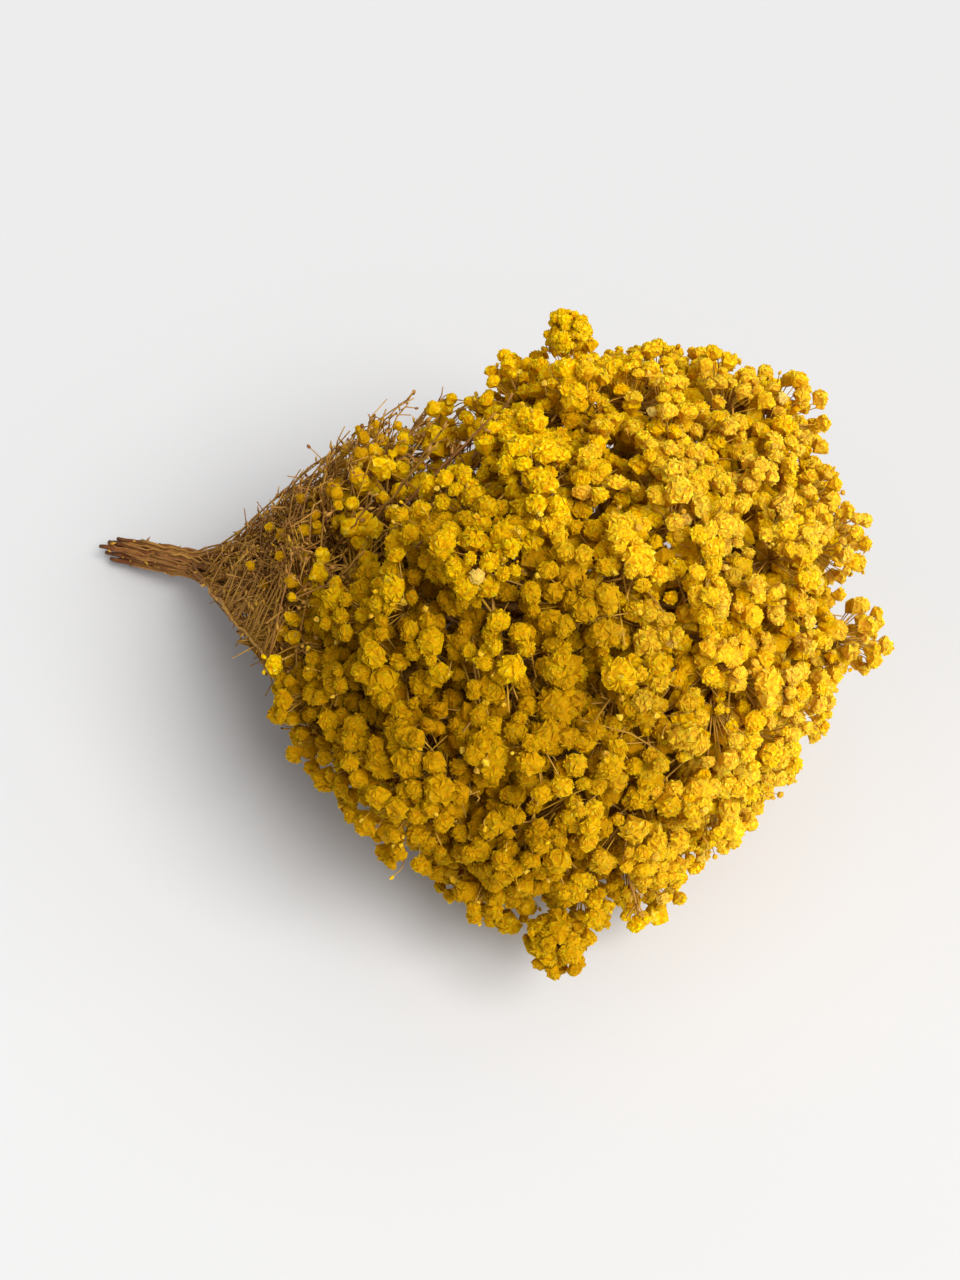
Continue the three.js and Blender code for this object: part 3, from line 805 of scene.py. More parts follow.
class StemSkeleton:
    """The centre lines of a packed stem, read from the rings of its tubes."""

    RING_REACH = 2.3
    RADIUS_RANGE = (0.4, 1.1)

    def __init__(self, points: Array, faces: Array) -> None:
        """Finds the rings and joins them into a tree.

        Args:
            points: The stem's points.
            faces: Its triangles.
        """
        neighbours: dict[int, set[int]] = defaultdict(set)
        for face in faces.tolist():
            for one in face:
                neighbours[one].update(set(face) - {one})
        ring = self._rings(points, neighbours)
        rings = [points[ring == k] for k in range(int(ring.max()) + 1)]
        self.centres = np.array([around.mean(axis=0) for around in rings])
        reach = [np.linalg.norm(around - c, axis=1).max() for around, c in zip(rings, self.centres)]
        self.radii = np.clip(reach, *self.RADIUS_RANGE)
        self.branches = self._branches(ring, neighbours)

    def _rings(self, points: Array, neighbours: dict[int, set[int]]) -> Array:
        """Groups the points that lie round one place of a tube.

        Args:
            points: The stem's points.
            neighbours: The points joined to each point.

        Returns:
            The ring number of each point.
        """
        ring = np.full(len(points), -1)
        count = 0
        for first in np.argsort(points[:, 0], kind="stable").tolist():
            if ring[first] >= 0:
                continue
            ring[first] = count
            waiting = [first]
            while waiting:
                for other in sorted(neighbours[waiting.pop()]):
                    near = np.linalg.norm(points[other] - points[first]) < self.RING_REACH
                    if ring[other] < 0 and near:
                        ring[other] = count
                        waiting.append(other)
            count += 1
        return ring

    def _gap(self, one: int, two: int) -> float:
        """The distance between two rings."""
        return float(np.linalg.norm(self.centres[one] - self.centres[two]))

    def _parents(self, ring: Array, neighbours: dict[int, set[int]]) -> dict[int, int]:
        """Joins the rings by the shortest links, from the cut end on.

        Args:
            ring: The ring number of each point.
            neighbours: The points joined to each point.

        Returns:
            The ring before each ring, in the order that they were joined, and -1 before the first.
        """
        links = {(int(ring[a]), int(ring[b])) for a, others in neighbours.items() for b in others}
        near: dict[int, list[tuple[float, int]]] = defaultdict(list)
        for a, b in sorted((a, b) for a, b in links if a < b):
            near[a].append((self._gap(a, b), b))
            near[b].append((self._gap(a, b), a))
        parent = {int(np.argmin(self.centres[:, 0])): -1}
        while True:
            options = [(length, b, a) for a in parent for length, b in near[a] if b not in parent]
            if not options:
                return parent
            _, b, a = min(options)
            parent[b] = a

    def _branches(self, ring: Array, neighbours: dict[int, set[int]]) -> list[Branch]:
        """Splits the tree of rings into runs, each as long as it can be.

        Args:
            ring: The ring number of each point.
            neighbours: The points joined to each point.

        Returns:
            The runs, the main one first.
        """
        parent = self._parents(ring, neighbours)
        run: dict[int, float] = defaultdict(float)
        heir: dict[int, int] = {}
        for number, above in reversed(parent.items()):
            if above < 0:
                continue
            length = run[number] + self._gap(number, above)
            if above not in heir or length > run[above]:
                run[above], heir[above] = length, number
        branches = []
        for start, above in parent.items():
            if above >= 0 and heir[above] == start:
                continue
            line = [above, start] if above >= 0 else [start]
            while line[-1] in heir:
                line.append(heir[line[-1]])
            if len(line) > 1:
                branches.append(Branch(self.centres[line], self.radii[line], above < 0))
        return branches


@dataclass
class Stem:
    """One dried stem of the bunch, with its forks, joints, leaves and winding strands."""

    name: str
    skeleton: StemSkeleton
    chance: Chance
    # the run's stations, sides and unevenness
    step: float = 4.5
    main_sides: int = 6
    branch_sides: int = 4
    slim: float = 0.78
    wobble: float = 0.3
    unevenness: float = 0.06
    tip_taper: float = 0.75
    # the joints, which are thicker and darker
    joint_swell: float = 0.32
    joint_gap: float = 19.0
    joint_dark: float = 0.35
    # the looks: dark and cut off at the foot, greener towards the tip
    dark_foot: float = 1.1
    dark_until: float = 90.0
    cut_mark: float = 0.8
    tone: Span = (0.1, 0.7)
    tone_spread: float = 0.1
    green: Span = (-0.3, 0.5)
    green_until: float = 400.0
    # thinner strands that wind round the foot; their looks are tone, green and depth
    strands: int = 6
    strand_start: Span = (0.0, 30.0)
    strand_length: Span = (28.0, 80.0)
    strand_radius: Span = (0.55, 0.3)
    strand_twist: float = 0.03
    strand_gap: Span = (0.15, 0.7)
    strand_wobble: float = 0.15
    strand_spread: Span = (0.8, 1.3)
    strand_looks: tuple[Span, ...] = ((0, 0.8), (0, 0.3), (0.2, 0.8))
    strand_lowest: float = 0.6
    # the leaves at the joints
    leaf_length: Span = (2.2, 5.0)
    leaf_looks: tuple[Span, ...] = ((0.2, 1.0), (0, 0.8), (0, 0.3))
    leaf_seat: float = 0.6
    leaf_lean: float = 0.7
    leafless: float = 4.0
    heap: Heap = field(default_factory=Heap)

    def build(self) -> None:
        """Lays the stem's own runs into its heap."""
        chance = self.chance
        for branch in self.skeleton.branches:
            points, radii = branch.resampled(self.step)
            points[1:-1] += chance.normal(0, self.wobble, points[1:-1].shape)
            radii = radii * self.slim * (1 + chance.normal(0, self.unevenness, len(radii)))
            walked = np.concatenate([[0], np.cumsum(np.linalg.norm(np.diff(points, axis=0), axis=1))])
            phase = chance.uniform(0, self.joint_gap)
            off_joint = np.abs((walked + phase) % self.joint_gap - self.joint_gap / 2)
            is_joint = off_joint < self.step / 2
            radii = radii * (1 + self.joint_swell * is_joint)
            marks = np.zeros((len(points), 4))
            tone = chance.uniform(*self.tone) + chance.normal(0, self.tone_spread, len(points))
            marks[:, 0] = np.clip(tone, 0, 1)
            marks[:, 1] = np.clip(chance.uniform(*self.green) + walked / self.green_until, 0, 1)
            marks[:, 2] = np.where(is_joint, self.joint_dark, 0.0)
            sides = self.main_sides if branch.is_main else self.branch_sides
            if branch.is_main:
                marks[:, 2] += self.dark_foot * np.clip(1 - walked / self.dark_until, 0, 1)
                marks[0, 3] = self.cut_mark
            else:
                radii[-1] *= self.tip_taper
            self.heap.add_tubes(points[None], radii[None], sides, marks[None])
            self._leaves(points, walked, radii, is_joint)
            if branch.is_main:
                self._strands(points, walked, radii)

    def _strands(self, points: Array, walked: Array, radii: Array) -> None:
        """Winds thinner strands round the lower part of the main run.

        Args:
            points: The run's stations.
            walked: The way along the run to each station.
            radii: Its radius at each station.
        """
        chance = self.chance
        along = unit(np.gradient(points, axis=0))
        across = unit(np.cross(along, [0.0, 0.0, 1.0]))
        upright = np.cross(along, across)
        for _ in range(self.strands):
            first = chance.uniform(*self.strand_start)
            last = first + chance.uniform(*self.strand_length)
            on = np.flatnonzero((walked >= first) & (walked <= last))
            if len(on) < 3:
                continue
            turned = chance.uniform(0, 2 * np.pi)
            twist = chance.uniform(-self.strand_twist, self.strand_twist)
            angle = (turned + walked[on] * twist)[:, None]
            offset = (radii[on] + chance.uniform(*self.strand_gap))[:, None]
            path = points[on] + offset * (np.cos(angle) * across[on] + np.sin(angle) * upright[on])
            path += chance.normal(0, self.strand_wobble, path.shape)
            keep_above(self.strand_lowest, path)
            width = np.linspace(*self.strand_radius, len(on)) * chance.uniform(*self.strand_spread)
            marks = [*(chance.uniform(*look) for look in self.strand_looks), 0.0]
            self.heap.add_tubes(path[None], width[None], self.branch_sides, np.array([marks]))

    def _leaves(self, points: Array, walked: Array, radii: Array, is_joint: Array) -> None:
        """Sets a pair of dry leaves at each joint.

        Args:
            points: The run's stations.
            walked: The way along the run to each station.
            radii: Its radius at each station.
            is_joint: Which stations are joints.
        """
        chance = self.chance
        at = np.flatnonzero(is_joint & (walked > self.leafless))
        at = at[(at > 0) & (at < len(points) - 1)]
        if len(at) == 0:
            return
        along = unit(points[at + 1] - points[at - 1])
        side = unit(np.cross(along, chance.normal(size=along.shape)))
        for sign in (1, -1):
            length = chance.uniform(*self.leaf_length, len(at))
            looks = [chance.uniform(*look, len(at)) for look in self.leaf_looks]
            marks = np.column_stack([*looks, np.zeros(len(at))])
            foot = points[at] + side * sign * radii[at, None] * self.leaf_seat
            way = along + side * sign * self.leaf_lean
            Bract().scatter(self.heap, foot, way, length, marks, chance)


@dataclass
class FlowerHead:
    """One clump-bearing part of the crown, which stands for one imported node."""

    name: str
    points: Array
    faces: Array
    is_tuft: bool
    is_lone: bool
    seat: Array
    fine_above: float = 60.0
    heap: Heap = field(default_factory=Heap)

    def __post_init__(self) -> None:
        """Finds its middle, and whether it is a tuft high up, whose blooms are small."""
        self.home = self.points.mean(axis=0)
        self.is_fine = self.is_tuft and float(self.home[2]) > self.fine_above

    def candidates(self, per_square: float, chance: Chance) -> tuple[Array, Array]:
        """Scatters points over the head's surface.

        Args:
            per_square: Points on a square millimetre.
            chance: The random source.

        Returns:
            The points and the surface's direction at each.
        """
        a, b, c = (self.points[self.faces[:, k]] for k in range(3))
        cross = np.cross(b - a, c - a)
        area = np.linalg.norm(cross, axis=1) / 2
        count = max(8, int(area.sum() * per_square))
        face = chance.choice(len(area), count, p=area / area.sum())
        u, v = chance.uniform(0, 1, (2, count, 1))
        flip = (u + v) > 1
        u, v = np.where(flip, 1 - u, u), np.where(flip, 1 - v, v)
        return a[face] + u * (b - a)[face] + v * (c - a)[face], unit(cross)[face]


@dataclass
class Skin:
    """Points scattered over the outside of the heads."""

    points: Array
    ways: Array
    outs: Array
    owners: Array

    def only(self, chosen: Array) -> "Skin":
        """The chosen points alone."""
        return Skin(self.points[chosen], self.ways[chosen], self.outs[chosen], self.owners[chosen])


@dataclass
class Layer:
    """A lower layer of blooms, which closes the view into the clumps."""

    middles: Array
    ways: Array
    sizes: Array
    owners: Array
    painted_shade: Array


@dataclass
class Crown:
    """The broad head of the bunch: clumps of frilly blooms on forked twigs.

    A span holds the lowest and the highest value, and a twig's radius goes from foot to end.
    """

    kinds: Kinds
    chance: Chance
    # the crown's round form, and how near to it a twig may carry blooms
    centre: Place = (55.5, 1.3, 76.5)
    half_size: Place = (92.0, 111.0, 84.0)
    tuft_outside: float = 1.04
    near_from: float = 1.34
    near_width: float = 0.36
    # a single bloom beside the crown, with its buds and its stalk
    lone_width: float = 14.0
    lone_radius: float = 3.8
    lone_buds: int = 4
    lone_back: Span = (1.0, 3.5)
    lone_side: Span = (2.5, 4.5)
    lone_tone: Span = (0.1, 0.5)
    lone_shade: float = 0.05
    lone_bud_radius: Span = (0.6, 1.1)
    lone_stalk: Span = (0.45, 0.25)
    lone_sway: float = 0.4
    # the scattered points, and which of them count as outside: on the crown, on a tuft
    per_square: float = 0.5
    radial_pull: float = 0.8
    least_out: Span = (0.05, -0.3)
    ray_gap: float = 0.05
    open_way: float = 40.0
    wall_gap: float = 3.0
    # the outer blooms, which are smaller far from the camera's side
    bloom_radius: float = 4.25
    bloom_spread: float = 0.25
    bloom_limits: Span = (2.4, 6.2)
    bloom_sink: float = 0.72
    bloom_rest: float = 0.62
    bloom_jitter: float = 0.8
    crowding: float = 0.67
    near_side: Place = (35.0, -60.0, 140.0)
    far_from: float = 50.0
    far_until: float = 150.0
    far_size: float = 0.78
    plain_below: float = -0.6
    # the clumps, and the crevices between them
    clump_width: float = 25.0
    clump_spread: Span = (0.8, 1.2)
    clump_rise: float = 4.0
    clump_lift: float = 2.0
    crevice_drop: float = 7.5
    crevice_width: float = 10.0
    crevice_edge: float = 0.18
    bare_crevice: float = 0.6
    # the layer of smaller blooms under the outer ones
    under_drop: float = 6.5
    under_spacing: float = 6.7
    under_radius: Span = (2.6, 4.0)
    under_crevice: float = 3.5
    # painted shade on this layer's blooms
    under_shade: Span = (0.0, 0.3)
    # the lower layers' tone, warm to paint the orange of the shade between petals
    under_shade_tone: Span = (0.5, 1.0)
    under_jitter: float = 1.4
    under_rest: float = 0.7
    # the layer below that, with full blooms where the crown is open towards the stems
    inner_drop: float = 12.5
    inner_spacing: float = 7.8
    inner_radius: Span = (3.6, 5.0)
    # painted shade on this layer's blooms
    inner_shade: Span = (0.2, 0.6)
    bare_below: float = -0.15
    bare_shade: Span = (0.4, 0.8)
    # the share of both layers that is left out well inside a clump, but not in a hollow
    covered: float = 0.6
    covered_from: float = 0.85
    deep_relief: float = -2.0
    # the crossing twigs under the blooms
    mat_twigs: int = 24
    mat_depth: Span = (8.0, 17.0)
    mat_reach: float = 30.0
    mat_sway: float = 2.0
    mat_radius: Span = (0.42, 0.26)
    mat_lowest: float = 0.8
    # the small tufts that stand clear of the crown
    tuft_size: float = 0.58
    tuft_rise: float = 0.35
    tuft_drop: float = 0.4
    tuft_pull: float = 0.3
    tuft_shrink: float = 0.16
    # the forked twigs that carry the blooms; their looks are tone, green and depth
    crotch_depth: float = 7.0
    crotch_back: float = 6.0
    crotch_back_share: float = 0.3
    crotch_lowest: float = 1.2
    bough_radius: Span = (0.55, 0.36)
    bough_sway: float = 1.6
    stalk_radius: Span = (0.3, 0.22)
    stalk_sway: float = 0.7
    stalk_seat: float = 0.6
    stalk_knee: float = 0.35
    stalk_bulge: float = 1.2
    low_stalk_radius: Span = (0.3, 0.24)
    twig_looks: tuple[Span, ...] = ((0.3, 1.0), (0.4, 1.0), (0, 0.3))
    # the sprigs between the blooms: how many on the crown and on a tuft, and their shape
    sprigs_per_bloom: Span = (0.3, 0.12)
    sprig_length: Span = (3.5, 7.5)
    sprig_open: float = 0.45
    sprig_side: float = 0.9
    sprig_depth: float = 3.5
    sprig_spread: Span = (0, 1.6)
    sprig_radius: Span = (0.22, 0.16)
    sprig_sway: float = 0.6
    sprig_lowest: Span = (0.6, 1.2)
    sprig_looks: tuple[Span, ...] = ((0, 1), (0.25, 0.75), (0, 0.15))
    husk_radius: Span = (0.9, 1.5)
    bud_radius: Span = (0.5, 0.9)
    # the dye's tone, as a mean and a spread, with its warmest and its most lemon place
    tone: Span = (0.38, 0.22)
    clump_tone: float = 0.16
    warm_place: Place = (99.0, -76.0, 122.0)
    lemon_place: Place = (33.0, -56.0, 145.0)
    hue_reach: float = 32.0
    hue_shift: float = 0.4
    # the few faded blooms, and painted light that makes all a little paler on the lit side
    pale_share: float = 0.012
    pale_range: Span = (0.2, 0.6)
    pale_until: float = 4.6
    pale_fade: float = 1.6
    pale_least: float = 0.1
    painted_light: float = 0.09
    painted_light_range: Span = (0.2, 1.8)
    tuft_painted_light: float = 2.0
    painted_light_way: Place = (0.9, 0.35, 0.2)
    # painted shade on the side towards the stems, in the crevices and in the hollows
    painted_shade: float = 0.95
    painted_shade_way: Place = (-0.42, -0.9, 0.0)
    painted_crevice_shade: float = 0.25
    painted_border_shade: float = 0.2
    painted_shade_spread: float = 0.05
    painted_hollow_shade: float = 0.065
    deepest_hollow: float = 10.0
    most_shade: float = 0.85
    # each hollow and lobe has a place, a reach and a size
    hollows: tuple[tuple[Place, float, float], ...] = (
        ((87, -68, 136), 11, 16),
        ((71, -44, 152), 11, 16),
        ((74, -102, 103), 10, 10),
        ((111, 2, 144), 9, 8),
        ((112, -54, 128), 10, 12),
        ((102, -27, 146), 9, 8),
        ((56, -81, 133), 8, 7),
        ((30, -28, 154), 9, 7),
        ((90, 37, 149), 9, 6),
        ((40, 33, 156), 9, 6),
        ((84, 64, 141), 7, 7),
        ((118, 68, 113), 5, 5),
    )
    lobes: tuple[tuple[Place, float, float], ...] = (
        ((71, -58, 146), 10, 5),
        ((35, -45, 150), 12, 4),
        ((15, -43, 144), 10, 4),
        ((86, -84, 123), 10, 4),
        ((99, -55, 137), 9, 4),
        ((100, -9, 150), 10, 4),
        ((22, -74, 130), 10, 3),
        ((92, 86, 119), 7, 9),
        ((108, 80, 111), 6, 5),
        ((126, 55, 112), 7, 6),
        ((52, 80, 135), 6, 5),
    )

    def __post_init__(self) -> None:
        """Keeps the centre as an array."""
        self.middle = np.array(self.centre)
        self.heads: list[FlowerHead] = []

    def depth(self, points: Array) -> Array:
        """How far out points lie: 0 at the middle, 1 on the crown's round form."""
        return np.linalg.norm((points - self.middle) / np.array(self.half_size), axis=-1)

    def nearness(self, points: Array) -> Array:
        """How close points are to the blooms: 0 far off, 1 under them."""
        return np.clip((self.near_from - self.depth(points)) / self.near_width, 0, 1)

    def _outness(self, points: Array) -> Array:
        """The way out of the crown at each point."""
        return unit((points - self.middle) / np.array(self.half_size))

    def _facing(self, points: Array, way: Place) -> Array:
        """How much the crown faces a way at each point, from 0 to 1."""
        return np.clip(self._outness(points) @ unit(np.array(way)), 0, 1)

    def _painted_side_shade(self, points: Array) -> Array:
        """How much shade is painted on the side towards the stems."""
        return self.painted_shade * self._facing(points, self.painted_shade_way)

    def _swell(self, points: Array, place: Place, reach: float) -> Array:
        """A round rise about a place: 1 there and less with the distance."""
        gap = np.linalg.norm(points - np.array(place), axis=1)
        return np.exp(-((gap / reach) ** 2) / 2)

    def _relief(self, points: Array) -> Array:
        """How far the main lobes and hollows move the blooms in or out.

        Args:
            points: Places on the crown.

        Returns:
            Millimetres, positive outwards.
        """
        total = np.zeros(len(points))
        for sign, forms in ((1, self.lobes), (-1, self.hollows)):
            for place, reach, size in forms:
                total += sign * size * self._swell(points, place, reach)
        return total

    def _edges(self, skin: Skin) -> tuple[Array, Array]:
        """Finds each point's clump and how far inside the clump it lies.

        Args:
            skin: The points.

        Returns:
            The clumps' numbers, and shares from 0 on a clump's border to 1 well inside.
        """
        gap = np.linalg.norm(skin.points[:, None] - self.clumps.points[None], axis=2)
        own_gap = np.where(skin.owners[:, None] == self.clumps.owners[None], gap, np.inf)
        clump = own_gap.argmin(axis=1)
        gap[np.arange(len(gap)), clump] = np.inf
        return clump, np.clip((gap.min(axis=1) - own_gap.min(axis=1)) / self.crevice_width, 0, 1)

    def take_heads(self, nodes: dict[str, bpy.types.Object], tips: Array) -> None:
        """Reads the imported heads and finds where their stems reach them.

        Args:
            nodes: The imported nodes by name.
            tips: The tips of the stems' branches.
        """
        for name in sorted(n for n in nodes if n.startswith("flowers_")):
            points, faces = packed_mesh(nodes[name])
            is_tuft = float(self.depth(points.mean(axis=0))) > self.tuft_outside
            is_lone = float(np.ptp(points, axis=0).max()) < self.lone_width
            tree = BVHTree.FromPolygons([Vector(p) for p in points], faces.tolist())
            seat = tips[int(np.argmin([tree.find_nearest(Vector(tip))[3] for tip in tips]))]
            self.heads.append(FlowerHead(name, points, faces, is_tuft, is_lone, seat))
        self.tufts = np.array([head.is_tuft for head in self.heads])
        self.fine = np.array([head.is_fine for head in self.heads])
        self.homes = np.array([head.home for head in self.heads])
        self.seats = np.array([head.seat for head in self.heads])

    def _outside(self) -> Skin:
        """Scatters points over what can be seen of the heads from outside.

        Returns:
            The points.
        """
        corners: list[Vector] = []
        faces: list[list[int]] = []
        for head in self.heads:
            faces.extend((head.faces + len(corners)).tolist())
            corners.extend(Vector(p) for p in head.points)
        tree = BVHTree.FromPolygons(corners, faces)
        rows = []
        for number, head in enumerate(self.heads):
            points, normals = head.candidates(self.per_square, self.chance)
            radial = unit(points - (head.home if head.is_tuft else self.middle))
            facing = unit(normals + radial * self.radial_pull)
            is_out = (normals * radial).sum(axis=1) > self.least_out[head.is_tuft]
            for k in np.flatnonzero(is_out):
                start = Vector(points[k] + normals[k] * self.ray_gap)
                blocked = tree.ray_cast(start, Vector(facing[k]), self.open_way)[0]
                walled = tree.ray_cast(start, Vector(normals[k]), self.wall_gap)[0]
                if blocked is None and walled is None:
                    rows.append((points[k], facing[k], radial[k], number))
        return Skin(*(np.array(column) for column in zip(*rows)))

    def _sizes(self, skin: Skin) -> Array:
        """Picks the radii of the outer blooms, smaller far from the camera's side.

        Args:
            skin: The points.

        Returns:
            A radius for each point.
        """
        spread = self.chance.normal(0, self.bloom_spread, len(skin.points))
        sizes = np.clip(self.bloom_radius * np.exp(spread), *self.bloom_limits)
        far = np.linalg.norm(skin.points - np.array(self.near_side), axis=1)
        far = np.clip((far - self.far_from) / (self.far_until - self.far_from), 0, 1)
        return sizes * np.where(self.fine[skin.owners], self.tuft_size, 1 - far * (1 - self.far_size))

    def _clump_centres(self, skin: Skin) -> Skin:
        """Picks the blooms that stand at the middle of a clump.

        Args:
            skin: The blooms' points.

        Returns:
            The middle ones.
        """
        middles: list[int] = []
        for number in range(len(self.heads)):
            own = np.flatnonzero(skin.owners == number)
            if len(own):
                reach = self.clump_width * self.chance.uniform(*self.clump_spread, len(own))
                middles.extend(own[spaced(skin.points[own], reach, self.chance)].tolist())
        return skin.only(np.array(middles))

    def _middles(self, skin: Skin, sizes: Array, clump: Array, edge: Array) -> Array:
        """Places the outer blooms: clumps stand out, and the crevices between them fall in.

        Args:
            skin: The blooms' points.
            sizes: Their radii.
            clump: The clump of each.
            edge: How far inside its clump each lies.

        Returns:
            The blooms' centres.
        """
        lift = self.chance.normal(0, self.clump_lift, len(self.clumps.points))[clump]
        rise = self.clump_rise - (self.clump_rise + self.crevice_drop) * (1 - edge) ** 2 + lift
        rise += self.chance.normal(0, self.bloom_jitter, len(edge)) + self._relief(skin.points)
        is_tuft = self.tufts[skin.owners]
        rise = np.where(is_tuft, rise * self.tuft_rise, rise)
        middles = skin.points + skin.ways * (rise - sizes * self.bloom_sink)[:, None]
        home, seat = self.homes[skin.owners], self.seats[skin.owners]
        pull = (home - middles) * self.tuft_shrink + (seat - home) * self.tuft_pull
        middles += np.where(is_tuft[:, None], pull, 0.0)
        keep_above(sizes * self.bloom_rest, middles)
        return middles

    def _looks(self, skin: Skin, sizes: Array, clump: Array, edge: Array) -> Array:
        """Colours the outer blooms: warm or lemon, with painted shade at the clumps' borders, on the
        side towards the stems and in the hollows, a few of them faded, and paler with painted light on
        the lit side.

        Args:
            skin: The blooms' points.
            sizes: Their radii.
            clump: The clump of each.
            edge: How far inside its clump each lies.

        Returns:
            Tone, painted shade and paleness of each, the paleness partly painted light.
        """
        chance, count, points = self.chance, len(edge), skin.points
        tones = chance.normal(*self.tone, count)
        tones = tones + chance.normal(0, self.clump_tone, len(self.clumps.points))[clump]
        warm = self._swell(points, self.warm_place, self.hue_reach)
        lemon = self._swell(points, self.lemon_place, self.hue_reach)
        tones = np.clip(tones + self.hue_shift * (warm - lemon), 0, 1)
        # painted shade at the clumps' borders, on the side towards the stems and in the hollows, with a
        # little random spread
        shade = (1 - edge) * self.painted_border_shade + chance.normal(0, self.painted_shade_spread, count)
        shade = shade + self._painted_side_shade(points)
        hollow = np.clip(-self._relief(points), 0, self.deepest_hollow)
        shade = np.clip(shade + hollow * self.painted_hollow_shade, 0, self.most_shade)
        is_pale = chance.uniform(0, 1, count) < self.pale_share
        pale = np.where(is_pale, chance.uniform(*self.pale_range, count), 0)
        pale *= np.clip((self.pale_until - sizes) / self.pale_fade, self.pale_least, 1)
        # painted light: the blooms turn paler on the lit side, most on the tufts
        painted_light = chance.uniform(*self.painted_light_range, count)
        painted_light = np.where(self.tufts[skin.owners], self.tuft_painted_light, painted_light)
        pale = np.clip(pale + self.painted_light * self._facing(points, self.painted_light_way) * painted_light, 0, 1)
        return np.column_stack([tones, shade, pale * (1 - shade)])

    def grow(self) -> None:
        """Grows all the clumps, head by head."""
        kinds, chance = self.kinds, self.chance
        outside = self._outside()
        sizes = self._sizes(outside)
        chosen = spaced(outside.points, sizes * 2 * self.crowding, chance)
        skin, sizes = outside.only(chosen), sizes[chosen]
        self.clumps = self._clump_centres(skin)
        clump, edge = self._edges(skin)
        middles = self._middles(skin, sizes, clump, edge)
        keep = (edge > self.crevice_edge) | (chance.uniform(0, 1, len(edge)) > self.bare_crevice)
        top = Spots(middles, skin.ways, sizes, self._looks(skin, sizes, clump, edge))
        under = self._layer(outside, self.under_drop, self.under_spacing, self.under_radius)
        inner = self._layer(outside, self.inner_drop, self.inner_spacing, self.inner_radius)
        for number, head in enumerate(self.heads):
            if head.is_lone:
                self._set_lone(head)
                continue
            own = np.flatnonzero((skin.owners == number) & keep)
            spots = top.only(own)
            is_low = spots.ways[:, 2] < self.plain_below
            kinds.full.scatter(head.heap, spots.only(~is_low), chance)
            kinds.small.scatter(head.heap, spots.only(is_low), chance)
            low = np.flatnonzero(under.owners == number)
            self._set_layer(head, kinds.full, under, low, self.under_shade)
            deep = np.flatnonzero((inner.owners == number) & (not head.is_tuft))
            bare = self._outness(inner.middles[deep])[:, 0] < self.bare_below
            self._set_layer(head, kinds.full, inner, deep[bare], self.bare_shade)
            self._set_layer(head, kinds.husk, inner, deep[~bare], self.inner_shade)
            self._twigs(head, spots, clump[own], under.middles[low])
            self._mat(head, outside, number)
            self._sprigs(head, spots)
        log.info("crown: %d blooms above, %d below", int(keep.sum()), len(under.owners))

    def _set_lone(self, head: FlowerHead) -> None:
        """Sets a single bloom with a few buds, on its own stalk beside the crown.

        Args:
            head: The head.
        """
        chance, count = self.chance, self.lone_buds
        way = unit(head.home - head.seat)
        ways = np.repeat(way[None], count, axis=0)
        side = unit(np.cross(ways, chance.normal(size=(count, 3))))
        back = way * chance.uniform(*self.lone_back, (count, 1))
        places = head.home - back + side * chance.uniform(*self.lone_side, (count, 1))
        tones, shade = chance.uniform(*self.lone_tone, count), np.full(count, self.lone_shade)
        looks = np.column_stack([tones, shade, np.zeros(count)])
        bloom = Spots(head.home[None], way[None], np.array([self.lone_radius]), looks[:1])
        self.kinds.full.scatter(head.heap, bloom, chance)
        buds = Spots(places, side, chance.uniform(*self.lone_bud_radius, count), looks)
        self.kinds.bud.scatter(head.heap, buds, chance)
        ends = np.concatenate([head.home[None], places])
        feet = np.repeat(head.seat[None], len(ends), axis=0)
        self._lay(head, feet, ends, self.lone_sway, self.lone_stalk, 4)

    def _layer(self, outside: Skin, drop: float, spacing: float, radius: Span) -> Layer:
        """Places the smaller blooms of a layer that closes the view into the clumps.

        Args:
            outside: The scattered points of the outside.
            drop: How deep the layer lies.
            spacing: How far apart its blooms are.
            radius: The smallest and largest radius.

        Returns:
            The layer.
        """
        chance = self.chance
        skin = outside.only(spaced(outside.points, np.full(len(outside.points), spacing), chance))
        _, edge = self._edges(skin)
        is_deep = self._relief(skin.points) < self.deep_relief
        is_thin = chance.uniform(0, 1, len(edge)) > self.covered
        kept = (edge < self.covered_from) | is_deep | is_thin
        skin, edge = skin.only(kept), edge[kept]
        sizes = chance.uniform(*radius, len(edge))
        sizes = sizes * np.where(self.fine[skin.owners], self.tuft_size, 1.0)
        jitter = chance.normal(0, self.under_jitter, len(edge))
        drops = drop + jitter + (1 - edge) * self.under_crevice
        drops = np.where(self.tufts[skin.owners], drops * self.tuft_drop, drops)
        drops = drops - self._relief(skin.points)
        middles = skin.points - skin.outs * drops[:, None]
        keep_above(sizes * self.under_rest, middles)
        # painted shade: more on the side towards the stems and in the crevices
        painted_shade = self._painted_side_shade(skin.points) + (1 - edge) * self.painted_crevice_shade
        return Layer(middles, skin.ways, sizes, skin.owners, painted_shade)

    def _set_layer(
        self, head: FlowerHead, kind: Blossom, layer: Layer, own: Array, shade: Span
    ) -> None:
        """Sets one head's blooms of a lower layer, with painted shade and a warm tone that paints the
        orange of the shade between petals.

        Args:
            head: The head.
            kind: The bloom.
            layer: The layer.
            own: The numbers of this head's blooms in it.
            shade: The least and the most painted shade.
        """
        depth = np.clip(self.chance.uniform(*shade, len(own)) + layer.painted_shade[own], 0, 1)
        tones = self.chance.uniform(*self.under_shade_tone, len(own))
        looks = np.column_stack([tones, depth, np.zeros(len(own))])
        spots = Spots(layer.middles[own], layer.ways[own], layer.sizes[own], looks)
        kind.scatter(head.heap, spots, self.chance)

